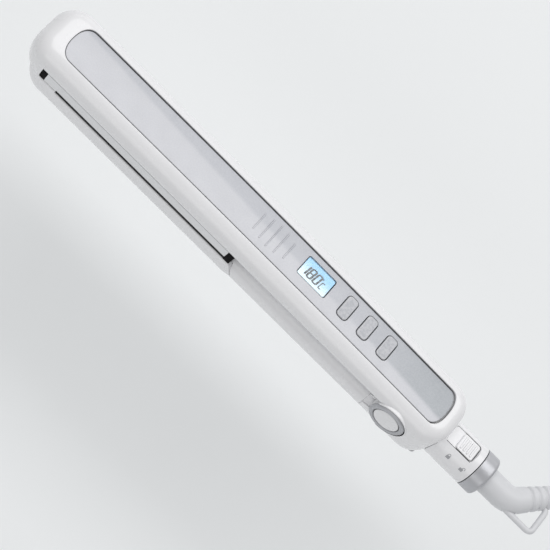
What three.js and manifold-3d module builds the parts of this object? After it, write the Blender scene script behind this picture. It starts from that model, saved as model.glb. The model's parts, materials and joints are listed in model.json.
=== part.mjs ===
// Flat iron (hair straightener) with its arms closed, in millimetres.
//
// Frame: +X runs towards the cord, +Z is up and the near side is -Y. The hinge pin lies along Y, straight
// above the origin, and the lower arm rests on the plane Z = 0. The upper arm, the hub and the cord neck are
// one rigid frame. The lower arm opens downwards about the pin, and both plates float a little in their arms.

import * as THREE from "three";
import { mergeVertices } from "three/addons/utils/BufferGeometryUtils.js";
import Module from "manifold-3d";

const wasm = await Module();
wasm.setup();

// ---------------------------------------------------------------- driving dimensions

const FIT = 0.2; // gap between pieces that are fastened together
const RUN = 0.3; // gap between pieces that move against each other
const ARC = 3; // half the segments in a quarter-round outline
const TURN = 24; // segments round a turned piece
const QUARTER = Math.PI / 2;
const WIDE = 20; // reaches past either side of the arms
const BELOW = -10; // lower than any piece
const ABOVE = 40; // higher than any piece

// Upper arm
const TIP_X = -233.8;
const REAR_X = 25.3;
const TOP_Z = 33.3;
const TOP_FALL_X = -150; // behind this the top line falls along an arc
const TOP_FALL_R = 4800;
const HALF_W = 17.3;
const SHOULDER_R = 8;
const TIP_PLAN_R = 12;
const REAR_PLAN_R = 13;
const TIP_SIDE_R = 9;
const REAR_SIDE_R = 6;
const WALL = 2.1;
const FLOOR_DEPTH = 1.8; // how far the panel seat lies under the top line
const CEILING_DEPTH = 3.2;
const CAVITY_X0 = -224;
const CAVITY_X1 = REAR_X - 2.5;
const UPPER_EDGE_Z = 23;
const HUB_EDGE_Z = 5;

// Where the arms part, and the plate bay
const PART_Z = 15.7;
const PLATE_X0 = -210.2;
const PLATE_X1 = -105.1;
const FLOAT = 0.4;
const PLATE_T = 0.6;
const PLATE_GAP = 0.15; // half of the gap between the plates
const PLATE_HALF_W = 16.5;
const FLANK_HALF_W = 16.7;
const FRONT_BLOCK_X0 = -220.6;
const FRONT_BLOCK_X1 = -217.8;
const REAR_BLOCK_X0 = -104.8;
const REAR_BLOCK_X1 = -101.2;
const NOSE_GAP = 0.2; // half of the thin line between the noses
const PLATE_RIM_Z = PART_Z - PLATE_GAP - PLATE_T - FLOAT - 0.1; // the lower shell's rim beside the plates

// Lower arm
const LOWER_TIP_X = -229.7;
const LOWER_HALF_W = 17;
const HANDLE_HALF_W = 16.3;
const LOWER_R = 8;
const HANDLE_RIM_Z = 6;
const CROWN_Z = 16.5;
const COVER_X0 = REAR_BLOCK_X1 + RUN;
const COVER_X1 = -13;
const HANDLE_END_X = -6; // the handle's crown runs on to here, beside the ears

// Hinge
const PIN_Z = 16.5;
const PIN_R = 2.5;
const EAR_R = 9.7;
const EAR_Y0 = 12.8;
const CHEEK_Y0 = 9.5;
const CHEEK_R = 8.5;
const HEEL_R = 16.8;
const HEEL_SKIN = 2;
const OPEN_ANGLE = THREE.MathUtils.degToRad(20);
const ARCH_R = EAR_R + 0.6;
const POD_R = ARCH_R + 1.2; // the raised rim round the near ear
const POD_Y = HALF_W + 0.3;
const CAP_R = 6.85;
// Each side's ear face and ring face, from the mid plane. The far ring lies deeper in its arch.
const NEAR = { side: -1, earY: 16.9, ringY: 18.3 };
const FAR = { side: 1, earY: 14.3, ringY: 15.7 };
const BUSH_R = 4;

// Panel, window and buttons
const PANEL_X0 = -221;
const PANEL_X1 = 17.5;
const PANEL_HALF_W = 10.1;
const PANEL_TIP_DEPTH = 6.8; // how long each elliptical end is
const PANEL_REAR_DEPTH = 6.2;
const PANEL_CROWN = 0.4;
const PANEL_LIFT = 0.1; // gap under the panel
const WINDOW = { x: -69.1, y: 0.8, w: 17, h: 10.7, r: 0.8 };
const BUTTON = { y: 0.7, w: 6.4, h: 12.5, r: 2.2, proud: 0.5, travel: 0.5 };
const BUTTON_X = { power: -49.2, minus: -36.5, plus: -23.8 };
const RIBS = [
  { x: -105.2, length: 10 },
  { x: -100.4, length: 12.5 },
  { x: -95.9, length: 14 },
  { x: -91.3, length: 12.5 },
  { x: -86.3, length: 10 },
];
const BOARD = { x0: -82, x1: -18.6, halfWidth: 11, z0: 23.2, z1: 24.6 };
const SWITCH_TOP_Z = 26.1;
const FLANGE_Z = SWITCH_TOP_Z + 0.6;

// Cord end
const NECK_R = 10.6;
const NECK_Z = 10.8;
const NECK_X1 = 46.2;
const NECK_BORE_R = 7.4;
const SPIGOT_R = 9;
const FLANGE_R = 9.6;
const RECESS = { x0: 26.5, x1: 42.2, halfWidth: 5, floorZ: 19.6, r: 1.5 };
const SLIDER = { x0: 32.1, x1: 41.7, halfWidth: 4.4, footDepth: 1.9, travel: 4.6 };
const FOOT = { x0: SLIDER.x0 + 5, x1: SLIDER.x0 + 9, halfWidth: 1.5 };
const BOLT_X1 = 38.7;
const SWIVEL_X0 = 39.2;
const COLLAR_X1 = 54.2;
const COLLAR_R = 10.7;
const BOOT_X0 = 47.7;
const BOOT_R = 6.7;
const BOOT_LENGTH = 60;
const BOOT_BORE_R = 3.6;
const BEND_X = 64.8;
const BEND_R = 11;
const BEND_ANGLE = THREE.MathUtils.degToRad(48.5);
const CORD_R = 3.2;
const CORD_LENGTH = 76;
const LOOP_R = 1.5;

// ---------------------------------------------------------------- finishes

const FINISH = {
  shell: { color: 0xe8e8ea, roughness: 0.25, metalness: 0 },
  panel: { color: 0xc9cace, roughness: 0.3, metalness: 0.35 },
  trim: { color: 0xb9bbc0, roughness: 0.28, metalness: 0.6 },
  button: { color: 0xd4d5d8, roughness: 0.35, metalness: 0.3 },
  lens: { color: 0xcfe6f2, roughness: 0.08, metalness: 0 },
  display: { color: 0xa9d3ea, roughness: 0.4, metalness: 0 },
  block: { color: 0x0c0c0d, roughness: 0.5, metalness: 0 },
  plate: { color: 0x1c1c20, roughness: 0.22, metalness: 0.4 },
  steel: { color: 0xa8a9ac, roughness: 0.35, metalness: 1 },
  heater: { color: 0xb98c4a, roughness: 0.6, metalness: 0 },
  silicone: { color: 0xb04a32, roughness: 0.7, metalness: 0 },
  board: { color: 0x1f6b3c, roughness: 0.55, metalness: 0 },
  switch: { color: 0x2a2a2c, roughness: 0.5, metalness: 0 },
  bush: { color: 0xd9d2bd, roughness: 0.5, metalness: 0 },
  boot: { color: 0xd6d7d9, roughness: 0.5, metalness: 0 },
  cord: { color: 0xe2e2e3, roughness: 0.55, metalness: 0 },
};

// ---------------------------------------------------------------- geometry helpers

// A closed three.js geometry as a solid that can be cut and joined.
function toSolid(geometry) {
  const bare = geometry.clone();
  bare.deleteAttribute("normal");
  bare.deleteAttribute("uv");
  const merged = mergeVertices(bare, 1e-4);
  const mesh = new wasm.Mesh({
    numProp: 3,
    vertProperties: merged.attributes.position.array,
    triVerts: new Uint32Array(merged.index.array),
  });
  return new wasm.Manifold(mesh);
}

function toGeometry(solid) {
  const mesh = solid.getMesh();
  const geometry = new THREE.BufferGeometry();
  geometry.setAttribute("position", new THREE.BufferAttribute(mesh.vertProperties, 3));
  geometry.setIndex(new THREE.BufferAttribute(mesh.triVerts, 1));
  geometry.computeVertexNormals();
  return geometry;
}

// A plan outline (x, y) raised from z0 to z1.
function prismZ(outline, z0, z1) {
  const geometry = new THREE.ExtrudeGeometry(outline, {
    depth: z1 - z0,
    bevelEnabled: false,
    curveSegments: ARC,
  });
  geometry.translate(0, 0, z0);
  return toSolid(geometry);
}

// A side outline (x, z) spread from y0 to y1.
function prismY(outline, y0, y1) {
  const geometry = new THREE.ExtrudeGeometry(outline, {
    depth: y1 - y0,
    bevelEnabled: false,
    curveSegments: ARC,
  });
  geometry.rotateX(QUARTER);
  geometry.translate(0, y1, 0);
  return toSolid(geometry);
}

// The geometry of a cross-section (y, z) carried from x0 to x1.
function sweepX(section, x0, x1, steps) {
  const geometry = new THREE.ExtrudeGeometry(section, {
    depth: x1 - x0,
    steps,
    bevelEnabled: false,
    curveSegments: ARC,
  });
  const yAxis = new THREE.Vector3(0, 1, 0);
  const zAxis = new THREE.Vector3(0, 0, 1);
  const xAxis = new THREE.Vector3(1, 0, 0);
  geometry.applyMatrix4(new THREE.Matrix4().makeBasis(yAxis, zAxis, xAxis));
  geometry.translate(x0, 0, 0);
  return geometry;
}

function prismX(section, x0, x1) {
  return toSolid(sweepX(section, x0, x1, 1));
}

function box(x0, x1, y0, y1, z0, z1) {
  const geometry = new THREE.BoxGeometry(x1 - x0, y1 - y0, z1 - z0);
  geometry.translate((x0 + x1) / 2, (y0 + y1) / 2, (z0 + z1) / 2);
  return toSolid(geometry);
}

// A turned piece from points [along the axis, radius], on the axis "x", "y" or "z" through the origin.
// The points run forwards along the outside and end on the axis, or close on themselves through a bore.
function turned(points, axis, segments = TURN) {
  const profile = points.map(([along, radius]) => new THREE.Vector2(radius, along));
  const geometry = new THREE.LatheGeometry(profile, segments);
  if (axis === "x") geometry.rotateZ(-QUARTER);
  if (axis === "z") geometry.rotateX(QUARTER);
  return geometry;
}

function rod(axis, from, to, radius, segments = TURN) {
  return turned([[from, 0], [from, radius], [to, radius], [to, 0]], axis, segments);
}

function tube(axis, from, to, outer, inner, segments = TURN) {
  const ring = [[from, inner], [from, outer], [to, outer], [to, inner], [from, inner]];
  return turned(ring, axis, segments);
}

function rectangle(x, y, w, h, r) {
  const outline = new THREE.Shape();
  const dx = w / 2 - r;
  const dy = h / 2 - r;
  outline.absarc(x + dx, y + dy, r, 0, QUARTER);
  outline.absarc(x - dx, y + dy, r, QUARTER, 2 * QUARTER);
  outline.absarc(x - dx, y - dy, r, 2 * QUARTER, 3 * QUARTER);
  outline.absarc(x + dx, y - dy, r, 3 * QUARTER, 4 * QUARTER);
  outline.closePath();
  return outline;
}

// A long plan outline with its own corner radius at each end.
function planOutline(x0, x1, halfWidth, tipR, rearR) {
  const outline = new THREE.Shape();
  outline.absarc(x1 - rearR, halfWidth - rearR, rearR, 0, QUARTER);
  outline.absarc(x0 + tipR, halfWidth - tipR, tipR, QUARTER, 2 * QUARTER);
  outline.absarc(x0 + tipR, tipR - halfWidth, tipR, 2 * QUARTER, 3 * QUARTER);
  outline.absarc(x1 - rearR, rearR - halfWidth, rearR, 3 * QUARTER, 4 * QUARTER);
  outline.closePath();
  return outline;
}

// How far the upper arm's top line has fallen at x.
function fall(x) {
  const behind = Math.max(0, x - TOP_FALL_X);
  return (behind * behind) / (2 * TOP_FALL_R);
}

function topZ(x) {
  return TOP_Z - fall(x);
}

// A cross-section swept along the upper arm, following its top line.
function alongTop(section, x0, x1) {
  const geometry = sweepX(section, x0, x1, 8);
  const position = geometry.attributes.position;
  for (let i = 0; i < position.count; i++) {
    position.setZ(i, position.getZ(i) - fall(position.getX(i)));
  }
  return toSolid(geometry);
}

// ---------------------------------------------------------------- assembly

const flatIron = new THREE.Group();

function add(name, shape, finish) {
  const solid = shape.isBufferGeometry ? toSolid(shape) : shape;
  const material = new THREE.MeshStandardMaterial(FINISH[finish]);
  const mesh = new THREE.Mesh(toGeometry(solid), material);
  mesh.name = name;
  flatIron.add(mesh);
}

// A countersunk screw standing along Z, its head's face at z. Its shaft points up for 1 and down for -1.
const SCREW = { headR: 2.3, shaftR: 1.2, headLength: 1.3, length: 5 };

function screw(name, x, y, z, up) {
  const { headR, shaftR, headLength, length } = SCREW;
  const profile = [[0, 0], [0, headR], [headLength, shaftR], [length, shaftR], [length, 0]];
  const geometry = turned(profile, "z", 12);
  if (up < 0) geometry.rotateX(Math.PI);
  geometry.translate(x, y, z);
  add(name, geometry, "steel");
}

// The space that a screw needs in the pieces it holds together.
function screwHole(x, y, z, up) {
  const { headR, shaftR, headLength, length } = SCREW;
  const gap = 0.15;
  const profile = [
    [-1, 0],
    [-1, headR + gap],
    [0, headR + gap],
    [headLength, shaftR + gap],
    [length + gap, shaftR + gap],
    [length + gap, 0],
  ];
  const geometry = turned(profile, "z", 12);
  if (up < 0) geometry.rotateX(Math.PI);
  geometry.translate(x, y, z);
  return toSolid(geometry);
}

function post(x, y, z0, z1, radius) {
  const geometry = rod("z", z0, z1, radius, 12);
  geometry.translate(x, y, 0);
  return toSolid(geometry);
}

const CARRIER_SCREW_X = [-213.5, -109];
const CARRIER_SCREW_Z = 22.9;
const CARRIER_TOP_Z = CARRIER_SCREW_Z + 1.8;
const HEATER_BAY_HALF_W = 12.3; // the pocket behind each plate
const UPPER_COVER_SCREW_X = [-92, -14.7];
const UPPER_COVER_Z = 21.4;
const LOWER_COVER_SCREW_X = [-90, -25];
const LOWER_SEAT_Z = 6.8; // the underside of what sits in the lower shell's front
const BAY_FLOOR_Z = 8.5;
const HUB_SCREW = { x: 20, y: 10.6, z: 1.5 };
const BOSS_R = 3;
const HUB_BOSS_R = 2.6;

// ---------------------------------------------------------------- upper arm

function archSection(halfWidth, low, top, corner) {
  const section = new THREE.Shape();
  section.moveTo(-halfWidth, low);
  section.lineTo(halfWidth, low);
  section.absarc(halfWidth - corner, top - corner, corner, 0, QUARTER);
  section.absarc(corner - halfWidth, top - corner, corner, QUARTER, 2 * QUARTER);
  section.closePath();
  return section;
}

function upperSideOutline() {
  const rearTop = topZ(REAR_X - REAR_SIDE_R);
  const above = TOP_Z + 2;
  const outline = new THREE.Shape();
  outline.moveTo(TIP_X, 0);
  outline.lineTo(REAR_X, 0);
  outline.absarc(REAR_X - REAR_SIDE_R, rearTop - REAR_SIDE_R, REAR_SIDE_R, 0, QUARTER);
  outline.lineTo(REAR_X - REAR_SIDE_R - 5, above);
  outline.lineTo(TIP_X + TIP_SIDE_R + 5, above);
  outline.absarc(TIP_X + TIP_SIDE_R, TOP_Z - TIP_SIDE_R, TIP_SIDE_R, QUARTER, 2 * QUARTER);
  outline.closePath();
  return outline;
}

// The upper arm's whole outer form, without its openings.
function upperBlank() {
  const low = -5;
  const section = archSection(HALF_W, low, TOP_Z, SHOULDER_R);
  const plan = planOutline(TIP_X, REAR_X, HALF_W, TIP_PLAN_R, REAR_PLAN_R);
  return alongTop(section, TIP_X, REAR_X)
    .intersect(prismZ(plan, low, TOP_Z + 1))
    .intersect(prismY(upperSideOutline(), -HALF_W - 1, HALF_W + 1));
}

function upperCavity() {
  const low = -5;
  const halfWidth = HALF_W - WALL;
  const section = archSection(halfWidth, low, TOP_Z - CEILING_DEPTH, SHOULDER_R - 3);
  const plan = planOutline(CAVITY_X0, CAVITY_X1, halfWidth, 3, REAR_PLAN_R - WALL);
  return alongTop(section, CAVITY_X0, CAVITY_X1).intersect(prismZ(plan, low, TOP_Z));
}

// The panel's plan outline, with half an ellipse at each end.
function panelPlan(x0, x1, halfWidth) {
  const outline = new THREE.Shape();
  const rear = x1 - PANEL_REAR_DEPTH;
  const tip = x0 + PANEL_TIP_DEPTH;
  outline.absellipse(rear, 0, PANEL_REAR_DEPTH, halfWidth, 0, QUARTER);
  outline.absellipse(tip, 0, PANEL_TIP_DEPTH, halfWidth, QUARTER, 2 * QUARTER);
  outline.absellipse(tip, 0, PANEL_TIP_DEPTH, halfWidth, 2 * QUARTER, 3 * QUARTER);
  outline.absellipse(rear, 0, PANEL_REAR_DEPTH, halfWidth, 3 * QUARTER, 4 * QUARTER);
  outline.closePath();
  return outline;
}

function panelBlank(grow, under, over) {
  const crown = new THREE.Shape();
  const halfWidth = PANEL_HALF_W + grow;
  crown.moveTo(-halfWidth, TOP_Z - under);
  crown.lineTo(halfWidth, TOP_Z - under);
  crown.lineTo(halfWidth, TOP_Z + over);
  crown.quadraticCurveTo(0, TOP_Z + over + 2 * PANEL_CROWN, -halfWidth, TOP_Z + over);
  crown.closePath();
  const x0 = PANEL_X0 - grow;
  const x1 = PANEL_X1 + grow;
  return alongTop(crown, x0, x1).intersect(prismZ(panelPlan(x0, x1, halfWidth), 0, TOP_Z + 5));
}

function windowHole(grow) {
  const w = WINDOW.w + 2 * grow;
  const h = WINDOW.h + 2 * grow;
  return prismZ(rectangle(WINDOW.x, WINDOW.y, w, h, WINDOW.r), BOARD.z1, TOP_Z + 2);
}

function buttonHoles(grow) {
  const holes = Object.values(BUTTON_X).map((x) => {
    const outline = rectangle(x, BUTTON.y, BUTTON.w + 2 * grow, BUTTON.h + 2 * grow, BUTTON.r + grow);
    return prismZ(outline, BOARD.z1, TOP_Z + 2);
  });
  return holes.reduce((all, hole) => all.add(hole));
}

function hingeCylinder(y0, y1, radius) {
  const geometry = rod("y", y0, y1, radius, 28);
  geometry.translate(0, 0, PIN_Z);
  return toSolid(geometry);
}

function neckCylinder(x0, x1, radius) {
  const geometry = rod("x", x0, x1, radius);
  geometry.translate(0, 0, NECK_Z);
  return toSolid(geometry);
}

// The hole in the hub's rear wall and the groove behind it, which hold the neck's spigot and flange.
function neckOpening() {
  const hole = neckCylinder(CAVITY_X1 - 5, REAR_X + 1, SPIGOT_R + FIT);
  return hole.add(neckCylinder(CAVITY_X1 - 2.7, CAVITY_X1, FLANGE_R + FIT));
}

function upperBosses() {
  const hubBossTop = 16;
  const bosses = CARRIER_SCREW_X.map((x) => post(x, 0, CARRIER_TOP_Z + 0.1, ABOVE, BOSS_R));
  for (const x of UPPER_COVER_SCREW_X) bosses.push(post(x, 0, UPPER_EDGE_Z + 0.1, ABOVE, BOSS_R));
  for (const y of [-HUB_SCREW.y, HUB_SCREW.y]) {
    bosses.push(post(HUB_SCREW.x, y, HUB_EDGE_Z, hubBossTop, HUB_BOSS_R));
  }
  return bosses.reduce((all, boss) => all.add(boss));
}

function upperScrewHoles() {
  const holes = CARRIER_SCREW_X.map((x) => screwHole(x, 0, CARRIER_SCREW_Z, 1));
  for (const x of UPPER_COVER_SCREW_X) holes.push(screwHole(x, 0, UPPER_COVER_Z, 1));
  for (const y of [-HUB_SCREW.y, HUB_SCREW.y]) holes.push(screwHole(HUB_SCREW.x, y, HUB_SCREW.z, 1));
  return holes.reduce((all, hole) => all.add(hole));
}

function upperHousing() {
  const belowHub = box(-WIDE, WIDE, -WIDE, WIDE, BELOW, HUB_EDGE_Z);
  const pod = hingeCylinder(-POD_Y, -EAR_Y0, POD_R).subtract(belowHub);
  const blank = upperBlank();
  const hubFrontX = 6.5;
  const shell = blank.subtract(upperCavity()).add(upperBosses().intersect(blank));
  return shell
    .add(pod)
    .subtract(box(TIP_X - 1, FRONT_BLOCK_X0 - RUN, -WIDE, WIDE, BELOW, PART_Z + NOSE_GAP))
    .subtract(box(FRONT_BLOCK_X0 - RUN, 0, -WIDE, WIDE, BELOW, UPPER_EDGE_Z))
    .subtract(box(-1, hubFrontX, -WIDE, WIDE, BELOW, HUB_EDGE_Z + 4))
    .subtract(box(-1, REAR_X + 1, -WIDE, WIDE, BELOW, HUB_EDGE_Z))
    .subtract(hingeCylinder(-WIDE, -EAR_Y0 + RUN, ARCH_R))
    .subtract(hingeCylinder(EAR_Y0 - RUN, WIDE, ARCH_R))
    .subtract(panelBlank(FIT, FLOOR_DEPTH, 3))
    .subtract(windowHole(-0.7))
    .subtract(buttonHoles(RUN))
    .subtract(neckOpening())
    .subtract(upperScrewHoles());
}

function controlPanel() {
  let panel = panelBlank(0, FLOOR_DEPTH - PANEL_LIFT, 0);
  for (const { x, length } of RIBS) {
    const top = topZ(x) + PANEL_CROWN + 0.3;
    panel = panel.add(prismZ(rectangle(x, 0, 0.8, length, 0.39), top - 1.2, top));
  }
  return panel.subtract(windowHole(FIT)).subtract(buttonHoles(RUN));
}

function lcdLens() {
  const seat = topZ(WINDOW.x + WINDOW.w / 2) - FLOOR_DEPTH;
  const outline = rectangle(WINDOW.x, WINDOW.y, WINDOW.w, WINDOW.h, WINDOW.r);
  const rim = topZ(WINDOW.x - WINDOW.w / 2) - FLOOR_DEPTH + 0.1;
  return prismZ(outline, rim, seat + FLOOR_DEPTH + PANEL_CROWN);
}

function lcdModule() {
  const outline = rectangle(WINDOW.x, WINDOW.y, WINDOW.w + 2.6, WINDOW.h + 2.6, 0.4);
  return prismZ(outline, BOARD.z1 + 0.1, topZ(WINDOW.x + WINDOW.w) - CEILING_DEPTH - 0.1);
}

function controlBoard() {
  const middle = (BOARD.x0 + BOARD.x1) / 2;
  const outline = rectangle(middle, 0, BOARD.x1 - BOARD.x0, 2 * BOARD.halfWidth, 1);
  return prismZ(outline, BOARD.z0, BOARD.z1);
}

function tactSwitch(x) {
  const body = box(x - 3, x + 3, BUTTON.y - 3, BUTTON.y + 3, BOARD.z1 + 0.02, SWITCH_TOP_Z - 0.4);
  return body.add(post(x, BUTTON.y, SWITCH_TOP_Z - 0.6, SWITCH_TOP_Z, 1.6));
}

// A button cap with a retaining flange under the housing's floor and a short stem over its switch.
function button(x) {
  const top = topZ(x) + PANEL_CROWN + BUTTON.proud;
  const ceiling = topZ(x + BUTTON.w) - CEILING_DEPTH;
  const cap = prismZ(rectangle(x, BUTTON.y, BUTTON.w, BUTTON.h, BUTTON.r), ceiling - 0.6, top);
  const flange = prismZ(rectangle(x, BUTTON.y, 9, 15, 1), ceiling - 1.2, ceiling - 0.2);
  return cap.add(flange).add(post(x, BUTTON.y, FLANGE_Z, ceiling - 0.5, 1.6));
}

function upperInnerCover() {
  const halfWidth = HALF_W - WALL - FIT;
  const x0 = REAR_BLOCK_X1 + FIT;
  const x1 = -11;
  const outline = rectangle((x0 + x1) / 2, 0, x1 - x0, 2 * halfWidth, 2);
  let cover = prismZ(outline, UPPER_COVER_Z, UPPER_EDGE_Z);
  for (const x of UPPER_COVER_SCREW_X) cover = cover.subtract(screwHole(x, 0, UPPER_COVER_Z, 1));
  return cover;
}

// The upper flank that closes the arm beside its plate, with a pocket for the heater.
function upperPlateCarrier() {
  const x0 = FRONT_BLOCK_X1 + 0.1;
  const x1 = REAR_BLOCK_X0 - 0.1;
  const low = PART_Z + PLATE_GAP + PLATE_T + FLOAT + 0.1;
  const insideHalfW = HALF_W - WALL - FIT;
  const bayX1 = x1 - 2;
  const bay = box(PLATE_X0 - 5, bayX1, -HEATER_BAY_HALF_W, HEATER_BAY_HALF_W, 0, CARRIER_SCREW_Z);
  let carrier = box(x0, x1, -FLANK_HALF_W, FLANK_HALF_W, low, UPPER_EDGE_Z - FIT)
    .add(box(x0, PLATE_X0 - RUN, -FLANK_HALF_W, FLANK_HALF_W, PART_Z + NOSE_GAP, low + 1))
    .add(box(x0, x1, -insideHalfW, insideHalfW, UPPER_EDGE_Z - 1, CARRIER_TOP_Z))
    .subtract(bay);
  for (const x of CARRIER_SCREW_X) carrier = carrier.subtract(screwHole(x, 0, CARRIER_SCREW_Z, 1));
  return carrier;
}

function upperFrontBlock() {
  const halfW = FLANK_HALF_W + 0.1;
  return box(FRONT_BLOCK_X0, FRONT_BLOCK_X1, -halfW, halfW, PART_Z + NOSE_GAP, UPPER_EDGE_Z - 0.1);
}

function upperRearBlock() {
  const halfW = FLANK_HALF_W + 0.1;
  return box(REAR_BLOCK_X0, REAR_BLOCK_X1, -halfW, halfW, PART_Z - 1.1, UPPER_EDGE_Z - 0.1);
}

// ---------------------------------------------------------------- floating plates

// A flat plate with a raised rail on its back. side is 1 for the upper plate and -1 for the lower one.
function plate(side) {
  const face = PART_Z + side * PLATE_GAP;
  const back = face + side * PLATE_T;
  const rail = back + side * 1.8;
  const flatLow = Math.min(face, back);
  const flatHigh = Math.max(face, back);
  const flat = box(PLATE_X0, PLATE_X1, -PLATE_HALF_W, PLATE_HALF_W, flatLow, flatHigh);
  const railLow = Math.min(back - side * 0.1, rail);
  const railHigh = Math.max(back - side * 0.1, rail);
  return flat.add(box(PLATE_X0 + 2, PLATE_X1 - 4, -10.5, 10.5, railLow, railHigh));
}

const HEATER_X0 = -190;
const HEATER_X1 = -130;

function layer(x0, x1, halfWidth, from, to, side) {
  const a = PART_Z + side * from;
  const b = PART_Z + side * to;
  return box(x0, x1, -halfWidth, halfWidth, Math.min(a, b), Math.max(a, b));
}

// A strip folded over the heater, with a foot on each side.
function heaterClip(side) {
  const x0 = HEATER_X0 + 12;
  const x1 = HEATER_X1 - 12;
  const outside = layer(x0, x1, 7.6, 2.6, 6, side);
  return outside.subtract(layer(x0 - 1, x1 + 1, 6.8, 2, 5.4, side));
}

const CUSHION_X = { front: -203, rear: -119 };

function cushion(middle, side) {
  return layer(middle - 5, middle + 5, 6, 3.2, 7, side);
}

function addPlateStack(prefix, side, sensor) {
  add(prefix + "_plate", plate(side), "plate");
  add(prefix + "_heater", layer(HEATER_X0, HEATER_X1, 6.5, 2.6, 5, side), "heater");
  add(prefix + "_heater_clip", heaterClip(side), "steel");
  add(sensor, layer(HEATER_X1 + 1, HEATER_X1 + 4.8, 1.8, 2.6, 4.8, side), "bush");
}

// ---------------------------------------------------------------- lower arm

function lowerSection(halfWidth, low, high, corner) {
  const section = new THREE.Shape();
  section.moveTo(halfWidth, high);
  section.lineTo(-halfWidth, high);
  section.absarc(corner - halfWidth, low + corner, corner, 2 * QUARTER, 3 * QUARTER);
  section.absarc(halfWidth - corner, low + corner, corner, 3 * QUARTER, 4 * QUARTER);
  section.closePath();
  return section;
}

// The lower arm narrows along an S-curve behind the plates.
function lowerPlan() {
  const x0 = REAR_BLOCK_X0;
  const x1 = REAR_BLOCK_X1 + 3;
  const middle = (x0 + x1) / 2;
  const outline = new THREE.Shape();
  outline.moveTo(HEEL_R + 1, -HANDLE_HALF_W);
  outline.lineTo(HEEL_R + 1, HANDLE_HALF_W);
  outline.lineTo(x1, HANDLE_HALF_W);
  outline.bezierCurveTo(middle, HANDLE_HALF_W, middle, LOWER_HALF_W, x0, LOWER_HALF_W);
  const r = TIP_PLAN_R;
  outline.absarc(LOWER_TIP_X + r, LOWER_HALF_W - r, r, QUARTER, 2 * QUARTER);
  outline.absarc(LOWER_TIP_X + r, r - LOWER_HALF_W, r, 2 * QUARTER, 3 * QUARTER);
  outline.lineTo(x0, -LOWER_HALF_W);
  outline.bezierCurveTo(middle, -LOWER_HALF_W, middle, -HANDLE_HALF_W, x1, -HANDLE_HALF_W);
  outline.closePath();
  return outline;
}

// The side outline of the lower shell: its rim lies lower beside the plates and drops to the handle.
function lowerSideOutline() {
  const dropX = REAR_BLOCK_X0 - 0.4;
  const lowX = REAR_BLOCK_X1 + 3;
  const outline = new THREE.Shape();
  outline.moveTo(HEEL_R + 1, 0);
  outline.lineTo(HEEL_R + 1, HANDLE_RIM_Z);
  outline.lineTo(lowX, HANDLE_RIM_Z);
  outline.bezierCurveTo(lowX - 3, HANDLE_RIM_Z, dropX + 3, PLATE_RIM_Z, dropX, PLATE_RIM_Z);
  outline.lineTo(PLATE_X0 - RUN, PLATE_RIM_Z);
  outline.lineTo(PLATE_X0 - RUN, PART_Z - NOSE_GAP);
  outline.lineTo(LOWER_TIP_X, PART_Z - NOSE_GAP);
  outline.absarc(LOWER_TIP_X + TIP_SIDE_R, TIP_SIDE_R, TIP_SIDE_R, 2 * QUARTER, 3 * QUARTER);
  outline.closePath();
  return outline;
}

// The cheeks and the heel that turn about the pin, as a side outline.
function knuckleOutline() {
  const skirtX = COVER_X1 + RUN;
  const outline = new THREE.Shape();
  outline.moveTo(skirtX, PIN_Z - 2);
  outline.lineTo(skirtX, -1);
  outline.lineTo(0, -1);
  outline.absarc(0, PIN_Z, HEEL_R, -QUARTER + 0.15, -0.25);
  outline.absarc(0, PIN_Z, CHEEK_R, 0.3, 2 * QUARTER);
  outline.closePath();
  return outline;
}

// What is left under the ear for the hub wall to pass over when the arm opens. Its upper edge is the hub
// wall's lower edge, turned back by the opening angle.
function earSkirtOutline() {
  const low = -1;
  const reach = PIN_Z - HUB_EDGE_Z + RUN;
  const edgeZ = PIN_Z - reach / Math.cos(OPEN_ANGLE);
  const edgeEndX = (edgeZ - low) / Math.tan(OPEN_ANGLE);
  const outline = new THREE.Shape();
  outline.moveTo(COVER_X1 + RUN, low);
  outline.lineTo(edgeEndX, low);
  outline.lineTo(0, edgeZ);
  outline.lineTo(-5, PIN_Z - 5);
  outline.lineTo(COVER_X1 + RUN, PIN_Z - 6.5);
  outline.closePath();
  return outline;
}

function knuckle() {
  const width = HALF_W;
  const section = lowerSection(HANDLE_HALF_W, 0, ABOVE, LOWER_R);
  const underPin = box(COVER_X1 - 3, 0, -width, width, -1, PIN_Z);
  const heelDisc = hingeCylinder(-width, width, HEEL_R).add(underPin);
  const skirt = prismY(earSkirtOutline(), -width, width).intersect(heelDisc);
  const pocket = hingeCylinder(-CHEEK_Y0, CHEEK_Y0, HEEL_R - HEEL_SKIN)
    .add(box(2 * COVER_X1, 0, -CHEEK_Y0, CHEEK_Y0, HEEL_SKIN, ABOVE));
  const crown = crownSection(HANDLE_HALF_W - 0.1, HANDLE_RIM_Z + 0.1, CROWN_Z);
  return prismY(knuckleOutline(), -EAR_Y0, EAR_Y0)
    .add(skirt)
    .add(prismX(crown, COVER_X1 + FIT, HANDLE_END_X))
    .intersect(prismX(section, 2 * COVER_X1, HEEL_R + 1))
    .subtract(hingeCylinder(FAR.earY + 0.02, HALF_W + 1, EAR_R + 0.1))
    .add(hingeCylinder(-NEAR.earY, -EAR_Y0 + 0.01, EAR_R))
    .add(hingeCylinder(EAR_Y0 - 0.01, FAR.earY, EAR_R))
    .subtract(pocket);
}

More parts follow.
